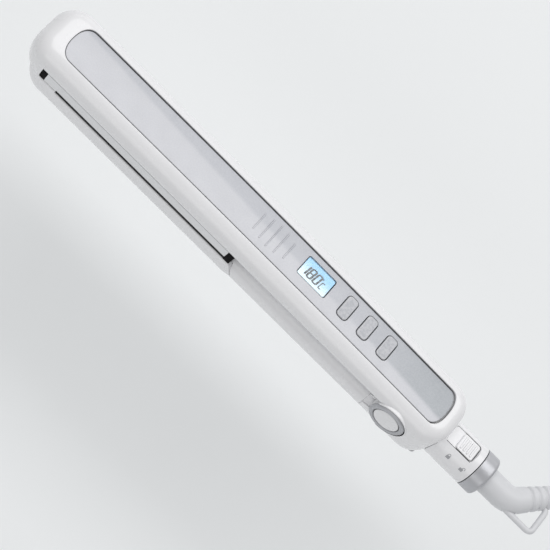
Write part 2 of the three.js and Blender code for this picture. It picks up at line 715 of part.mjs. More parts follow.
function lowerHousing() {
  const section = lowerSection(LOWER_HALF_W, 0, PART_Z, LOWER_R);
  const inside = lowerSection(HANDLE_HALF_W - WALL, 2, PART_Z + 1, LOWER_R - 2);
  const cavityX0 = -221;
  const cavityX1 = -16;
  const cavityPlan = planOutline(cavityX0, cavityX1, HANDLE_HALF_W - WALL, 3, 2);
  let shell = prismX(section, LOWER_TIP_X, -10)
    .intersect(prismZ(lowerPlan(), 0, PART_Z))
    .intersect(prismY(lowerSideOutline(), -WIDE, WIDE))
    .subtract(prismX(inside, cavityX0, cavityX1).intersect(prismZ(cavityPlan, 0, ABOVE)));
  for (const x of LOWER_COVER_SCREW_X) shell = shell.add(post(x, 0, 1, CROWN_Z - 3, BOSS_R));
  for (const x of LOWER_COVER_SCREW_X) shell = shell.subtract(screwHole(x, 0, CROWN_Z, -1));
  return shell
    .add(knuckle())
    .subtract(hingeCylinder(-EAR_Y0, EAR_Y0, BUSH_R + 0.05))
    .subtract(hingeCylinder(-WIDE, WIDE, PIN_R + 0.15));
}

// The crowned inner surface of the lower handle, as an open-bottomed channel.
function crownSection(halfWidth, low, high) {
  const section = new THREE.Shape();
  const square = 0.75; // how full the crown is
  section.moveTo(-halfWidth, low);
  section.lineTo(halfWidth, low);
  section.bezierCurveTo(halfWidth, low + (high - low) * square, halfWidth * square, high, 0, high);
  section.bezierCurveTo(-halfWidth * square, high, -halfWidth, low + (high - low) * square, -halfWidth, low);
  return section;
}

function lowerInnerCover() {
  const thickness = 1.8;
  const outside = crownSection(HANDLE_HALF_W - 0.1, HANDLE_RIM_Z + 0.1, CROWN_Z);
  const inside = crownSection(HANDLE_HALF_W - thickness, HANDLE_RIM_Z - 1, CROWN_Z - thickness);
  let cover = prismX(outside, COVER_X0, COVER_X1)
    .subtract(prismX(inside, COVER_X0 - 1, COVER_X1 + 1))
    .subtract(prismY(coverFrontOutline(), -WIDE, WIDE));
  for (const x of LOWER_COVER_SCREW_X) cover = cover.subtract(screwHole(x, 0, CROWN_Z, -1));
  return cover;
}

// The S-curved step of the lower shell's rim, which the inner cover's front edge clears.
function coverFrontOutline() {
  const dropX = REAR_BLOCK_X0 - 0.1;
  const lowX = REAR_BLOCK_X1 + 3 + RUN;
  const rim = PLATE_RIM_Z + 0.1;
  const outline = new THREE.Shape();
  outline.moveTo(lowX, 0);
  outline.lineTo(lowX, HANDLE_RIM_Z + 0.1);
  outline.bezierCurveTo(lowX - 3, HANDLE_RIM_Z + 0.1, dropX + 3, rim, dropX, rim);
  outline.lineTo(dropX - 10, rim);
  outline.lineTo(dropX - 10, 0);
  outline.closePath();
  return outline;
}

function lowerPlateCarrier() {
  const halfW = HANDLE_HALF_W - WALL - FIT;
  const x0 = FRONT_BLOCK_X1 + 0.3;
  const x1 = REAR_BLOCK_X0 - 1;
  const bayX1 = x1 - 2;
  const bay = box(PLATE_X0 - 3, bayX1, -HEATER_BAY_HALF_W, HEATER_BAY_HALF_W, BAY_FLOOR_Z, ABOVE);
  return box(x0, x1, -halfW, halfW, LOWER_SEAT_Z, PLATE_RIM_Z).subtract(bay);
}

function lowerFrontBlock() {
  const halfW = HANDLE_HALF_W - WALL - FIT - 4;
  return box(CAVITY_X0 + 3.3, FRONT_BLOCK_X1 + 0.1, -halfW, halfW, 8, PART_Z - NOSE_GAP);
}

function lowerRearBlock() {
  const halfW = HANDLE_HALF_W - WALL - FIT;
  return box(REAR_BLOCK_X0 - 0.8, COVER_X0 - RUN, -halfW, halfW, LOWER_SEAT_Z, PART_Z - 1.4);
}

// ---------------------------------------------------------------- hinge

function hingePart(geometry) {
  geometry.translate(0, 0, PIN_Z);
  return geometry;
}

// A round ring with eased edges on the ear's outer face.
function hingeRing({ side, earY, ringY }) {
  const inner = CAP_R + RUN;
  const base = earY + 0.05;
  const profile = [
    [base, inner],
    [base, EAR_R],
    [ringY - 0.7, EAR_R],
    [ringY - 0.2, EAR_R - 0.25],
    [ringY, EAR_R - 0.8],
    [ringY, inner + 0.4],
    [ringY - 0.4, inner],
    [base, inner],
  ];
  const geometry = turned(profile, "y");
  if (side < 0) geometry.rotateZ(Math.PI);
  return hingePart(geometry);
}

// The domed cap inside a ring.
function hingeCap({ side, earY, ringY }) {
  const base = earY + 0.05;
  const shoulder = ringY - 0.5;
  const dome = 0.7;
  const points = [[base, 0], [base, CAP_R], [shoulder, CAP_R]];
  for (let i = 1; i <= 3; i++) {
    const angle = (i / 3) * QUARTER;
    points.push([shoulder + dome * Math.sin(angle), CAP_R * Math.cos(angle)]);
  }
  points[points.length - 1][1] = 0;
  const geometry = turned(points, "y");
  if (side < 0) geometry.rotateZ(Math.PI);
  return hingePart(geometry);
}

function hingePin() {
  const inset = 0.4;
  return hingePart(rod("y", inset - NEAR.earY, FAR.earY - inset, PIN_R));
}

function hingeBush({ side }) {
  const y0 = side * CHEEK_Y0;
  const y1 = side * (EAR_Y0 - 0.1);
  return hingePart(tube("y", Math.min(y0, y1), Math.max(y0, y1), BUSH_R, PIN_R + 0.08));
}

const LUG = { y0: 4.3, y1: 9.1, r: 5.4 };
const BRACKET_TOP_Z = 26;

// Two lugs that carry the pin, hung from a plate under the housing.
function hingeBracket() {
  let bracket = box(-7, 8.8, -LUG.y1, LUG.y1, BRACKET_TOP_Z - 1.6, BRACKET_TOP_Z);
  for (const [y0, y1] of [[-LUG.y1, -LUG.y0], [LUG.y0, LUG.y1]]) {
    bracket = bracket.add(hingeCylinder(y0, y1, LUG.r));
    bracket = bracket.add(box(-LUG.r, LUG.r, y0, y1, PIN_Z, BRACKET_TOP_Z - 1));
  }
  return bracket.subtract(hingeCylinder(-WIDE, WIDE, PIN_R + 0.08));
}

// A torsion spring: a coil round the pin with one leg under the bracket and one towards the lower arm.
class SpringPath extends THREE.Curve {
  getPoint(t, target = new THREE.Vector3()) {
    const turns = 3.5;
    const coilR = 4.1;
    const pitch = 1.75;
    const leg = 6;
    const legShare = 0.12;
    const along = THREE.MathUtils.clamp((t - legShare) / (1 - 2 * legShare), 0, 1);
    const angle = QUARTER + along * turns * 2 * Math.PI;
    const y = (along - 0.5) * turns * pitch;
    const before = Math.max(0, (legShare - t) / legShare) * leg;
    const after = Math.max(0, (t - 1 + legShare) / legShare) * leg;
    const x = coilR * Math.cos(angle) + before;
    const z = PIN_Z + coilR * Math.sin(angle);
    return target.set(-x - after, y, z);
  }
}

function openingSpring() {
  const section = new THREE.Shape();
  section.absarc(0, 0, 0.6, 0, 2 * Math.PI);
  return new THREE.ExtrudeGeometry(section, {
    steps: 52,
    curveSegments: 3,
    extrudePath: new SpringPath(),
    bevelEnabled: false,
  });
}

const HUB_FORM_X0 = -20;
const HUB_BOTTOM_Z = 0.2;
const HUB_BOTTOM_R = 4;

// The hub's rear as one solid, from its bottom to above the neck.
function hubForm(grow) {
  const front = HUB_FORM_X0;
  const high = 22;
  const x = REAR_X - HUB_BOTTOM_R;
  const z = HUB_BOTTOM_Z + HUB_BOTTOM_R;
  const side = new THREE.Shape();
  side.moveTo(REAR_X + grow, high);
  side.lineTo(front, high);
  side.lineTo(front, HUB_BOTTOM_Z - grow);
  side.absarc(x, z, HUB_BOTTOM_R + grow, 3 * QUARTER, 4 * QUARTER);
  side.closePath();
  const plan = planOutline(front, REAR_X + grow, HALF_W + grow, TIP_PLAN_R, REAR_PLAN_R + grow);
  return prismZ(plan, -5, high + 1).intersect(prismY(side, -WIDE, WIDE));
}

function hubBottomCover() {
  const section = lowerSection(HALF_W - 0.05, HUB_BOTTOM_Z + 0.1, 20, LOWER_R);
  const inside = lowerSection(HALF_W - WALL, HUB_BOTTOM_Z + 2, 20, LOWER_R - 2);
  const plan = planOutline(HUB_FORM_X0, REAR_X, HALF_W, TIP_PLAN_R, REAR_PLAN_R);
  let cover = prismX(section, 0, REAR_X)
    .subtract(prismX(inside, -1, CAVITY_X1))
    .intersect(hubForm(0))
    .intersect(box(0, REAR_X, -WIDE, WIDE, 0, HUB_EDGE_Z - FIT));
  for (const y of [-HUB_SCREW.y, HUB_SCREW.y]) {
    const boss = post(HUB_SCREW.x, y, HUB_SCREW.z, HUB_EDGE_Z - FIT, HUB_BOSS_R);
    cover = cover.add(boss.intersect(prismZ(plan, 0, HUB_EDGE_Z)));
    cover = cover.subtract(screwHole(HUB_SCREW.x, y, HUB_SCREW.z, 1));
  }
  return cover.subtract(hingeCylinder(-WIDE, WIDE, HEEL_R + 0.4)).subtract(neckOpening());
}

// ---------------------------------------------------------------- cord end

// The neck: a tube with a flange inside the hub. Outside, its front follows the hub's rounded rear.
function cordNeck() {
  const flangeX0 = CAVITY_X1 - 2.4;
  const flangeX1 = CAVITY_X1 - FIT;
  const profile = [
    [flangeX0, NECK_BORE_R],
    [flangeX0, FLANGE_R],
    [flangeX1, FLANGE_R],
    [flangeX1, NECK_R],
    [NECK_X1, NECK_R],
    [NECK_X1, NECK_BORE_R],
    [flangeX0, NECK_BORE_R],
  ];
  const geometry = turned(profile, "x", 28);
  geometry.translate(0, 0, NECK_Z);
  const { x0, x1, halfWidth, floorZ, r } = RECESS;
  const recess = rectangle((x0 + x1) / 2, 0, x1 - x0, 2 * halfWidth, r);
  const slotY = FOOT.halfWidth + RUN;
  const slot = box(FOOT.x0 - SLIDER.travel - RUN, FOOT.x1 + RUN, -slotY, slotY, NECK_Z, floorZ + 1);
  const aroundSpigot = hubForm(FIT)
    .intersect(box(flangeX1, REAR_X + 1, -WIDE, WIDE, -5, 30))
    .subtract(neckCylinder(CAVITY_X1 - 5, REAR_X + 2, SPIGOT_R));
  return toSolid(geometry)
    .subtract(aroundSpigot)
    .subtract(prismZ(recess, floorZ, 30))
    .subtract(slot);
}

function lockSlider() {
  const { x0, x1, halfWidth } = SLIDER;
  const floor = RECESS.floorZ + 0.1;
  const top = floor + 1.1;
  let slider = prismZ(rectangle((x0 + x1) / 2, 0, x1 - x0, 2 * halfWidth, 1), floor, top);
  for (let i = 0; i < 4; i++) {
    const x = x0 + 1.8 + i * 2;
    slider = slider.add(box(x - 0.45, x + 0.45, -halfWidth + 1, halfWidth - 1, top - 0.2, top + 0.6));
  }
  const footZ = floor - SLIDER.footDepth;
  return slider.add(box(FOOT.x0, FOOT.x1, -FOOT.halfWidth, FOOT.halfWidth, footZ, floor + 0.2));
}

// The bolt that the slider pushes over the heel of the lower arm, so that the arm can't open.
function lockBolt() {
  const halfWidth = 2;
  const thickness = 2;
  const top = RECESS.floorZ - SLIDER.footDepth;
  const noseX = HEEL_R + 0.6;
  const noseLength = 3.4;
  const noseZ = 14; // a quarter of a millimetre above the heel
  return box(noseX, BOLT_X1, -halfWidth, halfWidth, top - thickness, top)
    .add(box(noseX, noseX + noseLength, -halfWidth, halfWidth, noseZ, top - thickness / 2));
}

function collarRing() {
  const x0 = NECK_X1 + FIT;
  const edge = 1.6;
  const profile = [[x0, BOOT_R + 0.4], [x0, COLLAR_R]];
  for (let i = 0; i <= 3; i++) {
    const angle = (i / 3) * QUARTER;
    profile.push([COLLAR_X1 - edge + edge * Math.sin(angle), COLLAR_R - edge + edge * Math.cos(angle)]);
  }
  profile.push([COLLAR_X1, BOOT_R + 0.4], [x0, BOOT_R + 0.4]);
  const geometry = turned(profile, "x", 28);
  geometry.translate(0, 0, NECK_Z);
  return geometry;
}

// Carries a straight piece on the neck's axis round the boot's bend, which turns towards +Y.
function bendAlongCord(geometry) {
  const position = geometry.attributes.position;
  const bendLength = BEND_R * BEND_ANGLE;
  for (let i = 0; i < position.count; i++) {
    const beyond = position.getX(i) - BEND_X;
    if (beyond > 0) {
      const angle = Math.min(beyond / BEND_R, BEND_ANGLE);
      const straight = Math.max(0, beyond - bendLength);
      const radius = BEND_R - position.getY(i);
      position.setX(i, BEND_X + radius * Math.sin(angle) + straight * Math.cos(angle));
      position.setY(i, BEND_R - radius * Math.cos(angle) + straight * Math.sin(angle));
    }
  }
  geometry.translate(0, 0, NECK_Z);
  return geometry;
}

// The boot's outer radius: straight to the bend, then tapering to its end.
function bootRadius(s) {
  const taperFrom = BEND_X - BOOT_X0;
  const share = Math.max(0, (s - taperFrom) / (BOOT_LENGTH - taperFrom));
  return BOOT_R - 1.9 * share;
}

const GROOVES_FROM = 31;
const GROOVE_PITCH = 4;

function strainRelief() {
  const end = BOOT_X0 + BOOT_LENGTH;
  const profile = [[BOOT_X0, BOOT_BORE_R]];
  const steps = 12;
  for (let i = 0; i <= steps; i++) {
    const s = (i / steps) * GROOVES_FROM;
    profile.push([BOOT_X0 + s, bootRadius(s)]);
  }
  for (let s = GROOVES_FROM + 1; s < BOOT_LENGTH - 3; s += GROOVE_PITCH) {
    profile.push([BOOT_X0 + s, bootRadius(s) - 0.9]);
    profile.push([BOOT_X0 + s + 1, bootRadius(s) - 0.9]);
    profile.push([BOOT_X0 + s + 1.1, bootRadius(s)]);
    profile.push([BOOT_X0 + s + 2.9, bootRadius(s)]);
  }
  profile.push([end, bootRadius(BOOT_LENGTH)]);
  for (let i = steps; i >= 0; i--) {
    profile.push([BOOT_X0 + (i / steps) * BOOT_LENGTH, BOOT_BORE_R]);
  }
  const boot = toSolid(bendAlongCord(turned(profile, "x", 16)));
  return boot.subtract(toSolid(loopTube(LOOP_R + 0.15)));
}

function cord() {
  const start = BOOT_X0 + 4;
  const profile = [[start, 0]];
  const steps = 10;
  for (let i = 0; i <= steps; i++) profile.push([start + (i / steps) * CORD_LENGTH, CORD_R]);
  profile.push([start + CORD_LENGTH, 0]);
  return bendAlongCord(turned(profile, "x", 12));
}

// The hanging loop leaves the outside of the bend, runs on straight, turns up beside the boot and enters it
// further along. Its corners are rounded by this share of each leg.
const LOOP_ROUND = 0.2;

function loopTube(radius) {
  const at = (x, y) => new THREE.Vector3(BEND_X + x, y, NECK_Z);
  const corners = [at(4.4, -4.3), at(22.4, -4.3), at(22.4, 9.3), at(19.85, 11.54)];
  const path = new THREE.CurvePath();
  let from = corners[0];
  for (let i = 1; i < corners.length - 1; i++) {
    const before = corners[i].clone().lerp(corners[i - 1], LOOP_ROUND);
    const after = corners[i].clone().lerp(corners[i + 1], LOOP_ROUND);
    path.add(new THREE.LineCurve3(from, before));
    path.add(new THREE.QuadraticBezierCurve3(before, corners[i], after));
    from = after;
  }
  path.add(new THREE.LineCurve3(from, corners[corners.length - 1]));
  const section = new THREE.Shape();
  section.absarc(0, 0, radius, 0, 2 * Math.PI);
  return new THREE.ExtrudeGeometry(section, {
    steps: 26,
    curveSegments: 4,
    extrudePath: path,
    bevelEnabled: false,
  });
}

function swivelHub() {
  const flangeR = 6.4;
  const bodyR = 4.6;
  const tailR = BOOT_BORE_R - RUN;
  const flangeX1 = SWIVEL_X0 + 1.5;
  const tailX0 = BOOT_X0 - FIT;
  const tailX1 = BOOT_X0 + 3.7;
  const profile = [
    [SWIVEL_X0, 0],
    [SWIVEL_X0, flangeR],
    [flangeX1, flangeR],
    [flangeX1, bodyR],
    [tailX0, bodyR],
    [tailX0, tailR],
    [tailX1, tailR],
    [tailX1, 0],
  ];
  const geometry = turned(profile, "x");
  geometry.translate(0, 0, NECK_Z);
  return geometry;
}

// The two leads from the board, over the spring and down behind the heel into the neck.
function powerLeads() {
  const path = new THREE.CatmullRomCurve3([
    new THREE.Vector3(-18.3, 4.6, 24.3),
    new THREE.Vector3(-13.5, 4.6, 24.4),
    new THREE.Vector3(-10.5, 4.2, 24.1),
    new THREE.Vector3(-6.5, 3.2, 22.9),
    new THREE.Vector3(0, 2.8, 22.6),
    new THREE.Vector3(9, 3.2, 22.4),
    new THREE.Vector3(16.5, 5, 20.5),
    new THREE.Vector3(18.9, 5, 14),
    new THREE.Vector3(24, 4, 11),
    new THREE.Vector3(SWIVEL_X0 - 1, 3, NECK_Z),
  ]);
  const section = new THREE.Shape();
  section.absarc(0, 0, 0.85, 0, 2 * Math.PI);
  return new THREE.ExtrudeGeometry(section, {
    steps: 26,
    curveSegments: 3,
    extrudePath: path,
    bevelEnabled: false,
  });
}

// ---------------------------------------------------------------- the pieces

add("upper_housing", upperHousing(), "shell");
add("control_panel", controlPanel(), "panel");
add("lcd_lens", lcdLens(), "lens");
add("lcd_module", lcdModule(), "display");
add("control_board", controlBoard(), "board");
for (const [name, x] of Object.entries(BUTTON_X)) {
  add(name + "_switch", tactSwitch(x), "switch");
  add(name + "_button", button(x), "button");
}
add("upper_inner_cover", upperInnerCover(), "shell");
add("upper_plate_carrier", upperPlateCarrier(), "shell");
add("upper_front_block", upperFrontBlock(), "block");
add("upper_rear_block", upperRearBlock(), "block");
addPlateStack("upper", 1, "thermistor");
for (const [place, x] of Object.entries(CUSHION_X)) {
  add("upper_cushion_" + place, cushion(x, 1), "silicone");
  add("lower_cushion_" + place, cushion(x, -1), "silicone");
}

add("lower_housing", lowerHousing(), "shell");
add("lower_inner_cover", lowerInnerCover(), "shell");
add("lower_plate_carrier", lowerPlateCarrier(), "shell");
add("lower_front_block", lowerFrontBlock(), "block");
add("lower_rear_block", lowerRearBlock(), "block");
addPlateStack("lower", -1, "thermal_fuse");

for (const [place, ear] of Object.entries({ left: FAR, right: NEAR })) {
  add("hinge_ring_" + place, hingeRing(ear), "trim");
  add("hinge_cap_" + place, hingeCap(ear), "shell");
  add("hinge_bush_" + place, hingeBush(ear), "bush");
}
add("hinge_pin", hingePin(), "steel");
add("hinge_bracket", hingeBracket(), "steel");
add("opening_spring", openingSpring(), "steel");
add("hub_bottom_cover", hubBottomCover(), "shell");

add("cord_neck", cordNeck(), "shell");
add("lock_slider", lockSlider(), "shell");
add("lock_bolt", lockBolt(), "switch");
add("collar_ring", collarRing(), "trim");
add("swivel_hub", swivelHub(), "switch");
add("strain_relief", strainRelief(), "boot");
add("cord", cord(), "cord");
add("hanging_loop", loopTube(LOOP_R), "boot");
add("power_leads", powerLeads(), "cord");

screw("carrier_screw_front", CARRIER_SCREW_X[0], 0, CARRIER_SCREW_Z, 1);
screw("carrier_screw_rear", CARRIER_SCREW_X[1], 0, CARRIER_SCREW_Z, 1);
screw("upper_cover_screw_front", UPPER_COVER_SCREW_X[0], 0, UPPER_COVER_Z, 1);
screw("upper_cover_screw_rear", UPPER_COVER_SCREW_X[1], 0, UPPER_COVER_Z, 1);
screw("lower_cover_screw_front", LOWER_COVER_SCREW_X[0], 0, CROWN_Z, -1);
screw("lower_cover_screw_rear", LOWER_COVER_SCREW_X[1], 0, CROWN_Z, -1);
screw("hub_screw_left", HUB_SCREW.x, HUB_SCREW.y, HUB_SCREW.z, 1);
screw("hub_screw_right", HUB_SCREW.x, -HUB_SCREW.y, HUB_SCREW.z, 1);

export default flatIron;
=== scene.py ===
"""Looks for a flat iron (hair straightener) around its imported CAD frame.

Lengths in this script are millimetres until a mesh is made, and the frame's are metres. +X runs to the cord,
+Z is up and the near side is -Y. Places come from the boxes of the CAD nodes.
"""

import json
from math import acos, asin, atan2, copysign, cos, pi, radians, sin, sqrt, tan

import bmesh
import bpy
from mathutils import Matrix, Vector


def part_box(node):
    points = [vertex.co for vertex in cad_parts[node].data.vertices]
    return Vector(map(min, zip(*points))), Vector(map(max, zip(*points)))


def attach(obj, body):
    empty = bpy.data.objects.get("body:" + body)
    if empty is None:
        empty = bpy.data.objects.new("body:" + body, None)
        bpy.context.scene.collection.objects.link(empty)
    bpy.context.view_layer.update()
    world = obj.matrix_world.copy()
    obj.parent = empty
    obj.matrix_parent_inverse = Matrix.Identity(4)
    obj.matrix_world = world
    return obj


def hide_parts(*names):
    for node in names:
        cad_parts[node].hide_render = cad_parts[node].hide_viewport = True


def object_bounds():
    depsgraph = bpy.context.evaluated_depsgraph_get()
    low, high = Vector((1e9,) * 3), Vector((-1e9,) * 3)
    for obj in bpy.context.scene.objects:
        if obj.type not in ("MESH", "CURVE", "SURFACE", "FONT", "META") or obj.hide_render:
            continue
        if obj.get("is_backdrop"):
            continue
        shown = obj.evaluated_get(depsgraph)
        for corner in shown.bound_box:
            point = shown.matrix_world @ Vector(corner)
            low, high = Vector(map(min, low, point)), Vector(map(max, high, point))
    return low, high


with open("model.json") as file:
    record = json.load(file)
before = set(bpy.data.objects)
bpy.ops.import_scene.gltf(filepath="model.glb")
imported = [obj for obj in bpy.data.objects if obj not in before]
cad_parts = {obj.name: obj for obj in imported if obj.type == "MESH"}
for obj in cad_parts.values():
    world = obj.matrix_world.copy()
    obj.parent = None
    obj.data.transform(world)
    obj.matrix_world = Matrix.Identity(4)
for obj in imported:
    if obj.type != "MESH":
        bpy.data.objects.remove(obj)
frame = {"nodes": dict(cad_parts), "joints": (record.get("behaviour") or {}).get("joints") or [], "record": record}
CAD_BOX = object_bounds()

MM = 0.001
QUARTER = pi / 2

BODY_OF = {
    node: body
    for body, nodes in frame["record"]["behaviour"]["bodies"].items()
    for node in nodes
}


class Extent:
    """A CAD node's box in millimetres."""

    def __init__(self, node):
        low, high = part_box(node)
        self.x0, self.y0, self.z0 = (value / MM for value in low)
        self.x1, self.y1, self.z1 = (value / MM for value in high)
        self.cx = (self.x0 + self.x1) / 2
        self.cy = (self.y0 + self.y1) / 2
        self.cz = (self.z0 + self.z1) / 2


# ---------------- driving dimensions

UPPER = Extent("upper_housing")
LOWER = Extent("lower_housing")
PANEL = Extent("control_panel")
LENS = Extent("lcd_lens")
MODULE = Extent("lcd_module")
COVER = Extent("lower_inner_cover")
RINGS = {"left": Extent("hinge_ring_left"), "right": Extent("hinge_ring_right")}
CAPS = {"left": Extent("hinge_cap_left"), "right": Extent("hinge_cap_right")}
PIN = Extent("hinge_pin")
HUB_COVER = Extent("hub_bottom_cover")
NECK = Extent("cord_neck")
SLIDER = Extent("lock_slider")
COLLAR = Extent("collar_ring")
BOOT = Extent("strain_relief")
FRONT_BLOCK = Extent("upper_front_block")
REAR_BLOCK = Extent("upper_rear_block")
LOWER_PLATE = Extent("lower_plate")

# Upper arm
TOP_FALL_X = -150  # behind this the top line falls along an arc
TOP_FALL_R = 4800
TIP_PLAN_R = 12
REAR_PLAN_R = 13
SIDE_R = 8
TIP_SIDE_R = 9
REAR_SIDE_R = 6
SHOULDER_END = radians(79)
WALL = 2.1
SEAT_DEPTH = 1.8
CEILING_DEPTH = 3.2
TUCK = 0.6  # how far the lower edge turns in
TUCK_HEIGHT = 6
LIP = 0.4
BAY_X = FRONT_BLOCK.x0 - 0.3
ARM_EDGE_Z = 23
NOSE_EDGE_Z = 15.9
HUB_EDGE_Z = UPPER.z0
HUB_FRONT_X = -1

# Panel
PANEL_NEAR_GAP = 0.2
PANEL_FAR_GAP = 1.0
PANEL_TIP_DEPTH = 6.8  # how long each elliptical end is
PANEL_REAR_DEPTH = 5.6
PANEL_FULLNESS = 0.84  # below 1 squares the elliptical ends
PANEL_CROWN = 0.4
PANEL_EDGE = 0.3
WINDOW = (17, 10.7, 0.8)  # width, height, corner radius
WINDOW_FLOOR = (16.9, 10.6, 0.8)
DISPLAY_FACE = -0.45  # from the top line
BUTTONS = ("power", "minus", "plus")
BUTTON = (5.8, 11.9, 1.8)
BUTTON_PROUD = 0.3
BUTTON_GAP = 0.42
RIB_PLACES = [(-105.2, 10), (-100.4, 12.5), (-95.9, 14), (-91.3, 12.5), (-86.3, 10)]

# Lower arm
LOWER_HALF_W = LOWER.y1
HANDLE_HALF_W = 16.3
PLATE_RIM_Z = 14.45
NOSE_RIM_Z = 15.5
NOSE_LIP_Z = 14.6  # just over the carrier
NOSE_BLOCK_SIDE = 3.2
HANDLE_RIM_Z = 6
COVER_GAP = 0.15
COVER_LOW_Z = HANDLE_RIM_Z + COVER_GAP
COVER_HALF_W = HANDLE_HALF_W - 0.25
STEP_X0 = REAR_BLOCK.x1  # the rim drops along an S-curve behind the rear block
STEP_X1 = REAR_BLOCK.x1 + 5.5
LOWER_BODY_X1 = -10
LOWER_CAVITY_X0 = -221
LOWER_FLOOR_Z = 2

# Hinge
PIN_Z = PIN.cz
PIN_R = PIN.x1
EAR_R = RINGS["right"].x1
EAR_Y0 = 12.8
NEAR_EAR_Y = 0.05 - RINGS["right"].y1  # each ear's outer face, from the mid plane
FAR_EAR_Y = RINGS["left"].y0 - 0.05
CHEEK_Y0 = 9.5
CHEEK_R = 8.5
HEEL_R = LOWER.x1
HEEL_SKIN = 2
BUSH_R = 4
ARCH_R = EAR_R + 0.55
POD_R = ARCH_R + 0.5  # the raised rim round the near ear
OPEN_ANGLE = radians(frame["joints"][0]["range_deg"][1])
KNUCKLE_X0 = COVER.x1 + 0.3

# Cord end
NECK_R = NECK.y1
NECK_Z = COLLAR.cz
NECK_BORE_R = 7.4
SPIGOT_R = 9
FLANGE_R = 9.6
SEAT_PLAY = 0.2
RECESS = {"x0": 26.5, "x1": 42.2, "half": 5, "floor": 19.6, "r": 1.5}
HUB_BOTTOM_R = 4
BOOT_R = 6.7
BOOT_LENGTH = 60
BEND_X = 64.8
BEND_R = 11
BEND_ANGLE = radians(48.5)
CORD_R = 3.2
LOOP_R = 1.5
LOOP_PLAY = 0.12
LOOP_ROUND = 0.2  # the share of each leg that its rounded corners take


# ---------------- outlines and skins


def spread(start, end, count):
    """count + 1 evenly spaced numbers from start to end."""
    return [start + (end - start) * i / count for i in range(count + 1)]


def arc(cx, cy, r, start, end, steps):
    """Points along an arc, both ends included."""
    return [(cx + r * cos(a), cy + r * sin(a)) for a in spread(start, end, steps)]


def softened(corners, steps=5):
    """A closed outline from (x, y, radius) corners, with an arc at each corner that has a radius."""
    outline = []
    for i, (x, y, r) in enumerate(corners):
        here = Vector((x, y))
        before = Vector(corners[i - 1][:2]) - here
        after = Vector(corners[(i + 1) % len(corners)][:2]) - here
        if r <= 0:
            outline.append((x, y))
            continue
        half = before.angle(after) / 2
        reach = r / tan(half)
        start = here + before.normalized() * reach
        end = here + after.normalized() * reach
        centre = here + (before.normalized() + after.normalized()).normalized() * (r / sin(half))
        a0 = atan2(start.y - centre.y, start.x - centre.x)
        a1 = atan2(end.y - centre.y, end.x - centre.x)
        turn = (a1 - a0 + pi) % (2 * pi) - pi
        outline += arc(centre.x, centre.y, r, a0, a0 + turn, steps)
    return outline


def fillet(r, steps):
    """How far a rounded edge has come in and down, from its side to its face."""
    return [(r * (1 - cos(a)), r * (1 - sin(a))) for a in spread(0, QUARTER, steps)]


class Bar:
    """A long plan outline, the same on both sides of its middle line, with its own corners at each end.

    Half of it is kept, from the rear round the +Y side to the tip, as (x, y, outward normal x, y)."""

    def __init__(self, x0, x1, half, tip_r, rear_r, side_xs=(), corner=10, end=4, y=0.0):
        self.x0, self.x1, self.half, self.y = x0, x1, half, y
        self.rear_c, self.tip_c = x1 - rear_r, x0 + tip_r
        self.points = [(x1, (half - rear_r) * i / end, 1.0, 0.0) for i in range(end)]
        for a in spread(0, QUARTER, corner):
            c, s = cos(a), sin(a)
            self.points.append((self.rear_c + rear_r * c, half - rear_r + rear_r * s, c, s))
        self.first_side = len(self.points)
        self.points += [(x, half, 0.0, 1.0) for x in side_xs]
        self.first_tip = len(self.points)
        for a in spread(QUARTER, 2 * QUARTER, corner):
            c, s = cos(a), sin(a)
            self.points.append((self.tip_c + tip_r * c, half - tip_r + tip_r * s, c, s))
        self.points += [(x0, (half - tip_r) * (1 - i / end), -1.0, 0.0) for i in range(1, end + 1)]

    def mapped_sides(self, side_xs, rear_c, tip_c):
        """This bar's side places moved to another bar's straight side."""
        share = (rear_c - tip_c) / (self.rear_c - self.tip_c)
        return [tip_c + (x - self.tip_c) * share for x in side_xs]

    def ring(self, inset, height, first_x=None):
        """The outline moved in by inset. Inset and height are each a number, a list with a number for each
        point, or a function of (x, y)."""
        half = []
        for k, (x, y, nx, ny) in enumerate(self.points):
            d = per_point(inset, k, x, y)
            px, py = x - d * nx, y - d * ny
            if first_x is not None:
                px = max(px, first_x)
            half.append((px, py, per_point(height, k, px, py)))
        near = [(x, self.y - y, z) for x, y, z in half[1:-1]]
        return [(x, self.y + y, z) for x, y, z in half] + near[::-1]


def per_point(value, k, x, y):
    if isinstance(value, list):
        return value[k]
    return value(x, y) if callable(value) else value


def ladder(bm, ring):
    """Closes a symmetric ring with a strip of faces from side to side, so that the face follows its bends."""
    m = len(ring) // 2
    bm.faces.new((ring[0], ring[1], ring[2 * m - 1]))
    for j in range(1, m - 1):
        bm.faces.new((ring[j], ring[j + 1], ring[2 * m - j - 1], ring[2 * m - j]))
    bm.faces.new((ring[m - 1], ring[m], ring[m + 1]))


def finish_mesh(name, bm, merge=1e-3):
    bmesh.ops.remove_doubles(bm, verts=bm.verts, dist=merge)
    bmesh.ops.dissolve_degenerate(bm, edges=bm.edges, dist=merge)
    bmesh.ops.recalc_face_normals(bm, faces=bm.faces)
    bmesh.ops.scale(bm, vec=(MM, MM, MM), verts=bm.verts)
    mesh = bpy.data.meshes.new(name)
    bm.to_mesh(mesh)
    bm.free()
    piece = bpy.data.objects.new(name, mesh)
    bpy.context.scene.collection.objects.link(piece)
    return piece


def add_form(bm, rings, ends=None):
    """Adds a closed form through rings of points. Its ends are single faces, or what ends(bm, ring) makes."""
    rows = [[bm.verts.new(p) for p in ring] for ring in rings]
    for low, high in zip(rows, rows[1:]):
        for k in range(len(low)):
            following = (k + 1) % len(low)
            bm.faces.new((low[k], low[following], high[following], high[k]))
    for ring in (rows[0], rows[-1]):
        if ends:
            ends(bm, ring)
        else:
            bm.faces.new(ring)


def skin(name, rings, ends=ladder):
    """A closed piece through rings of (x, y, z)."""
    bm = bmesh.new()
    add_form(bm, rings, ends)
    return finish_mesh(name, bm)


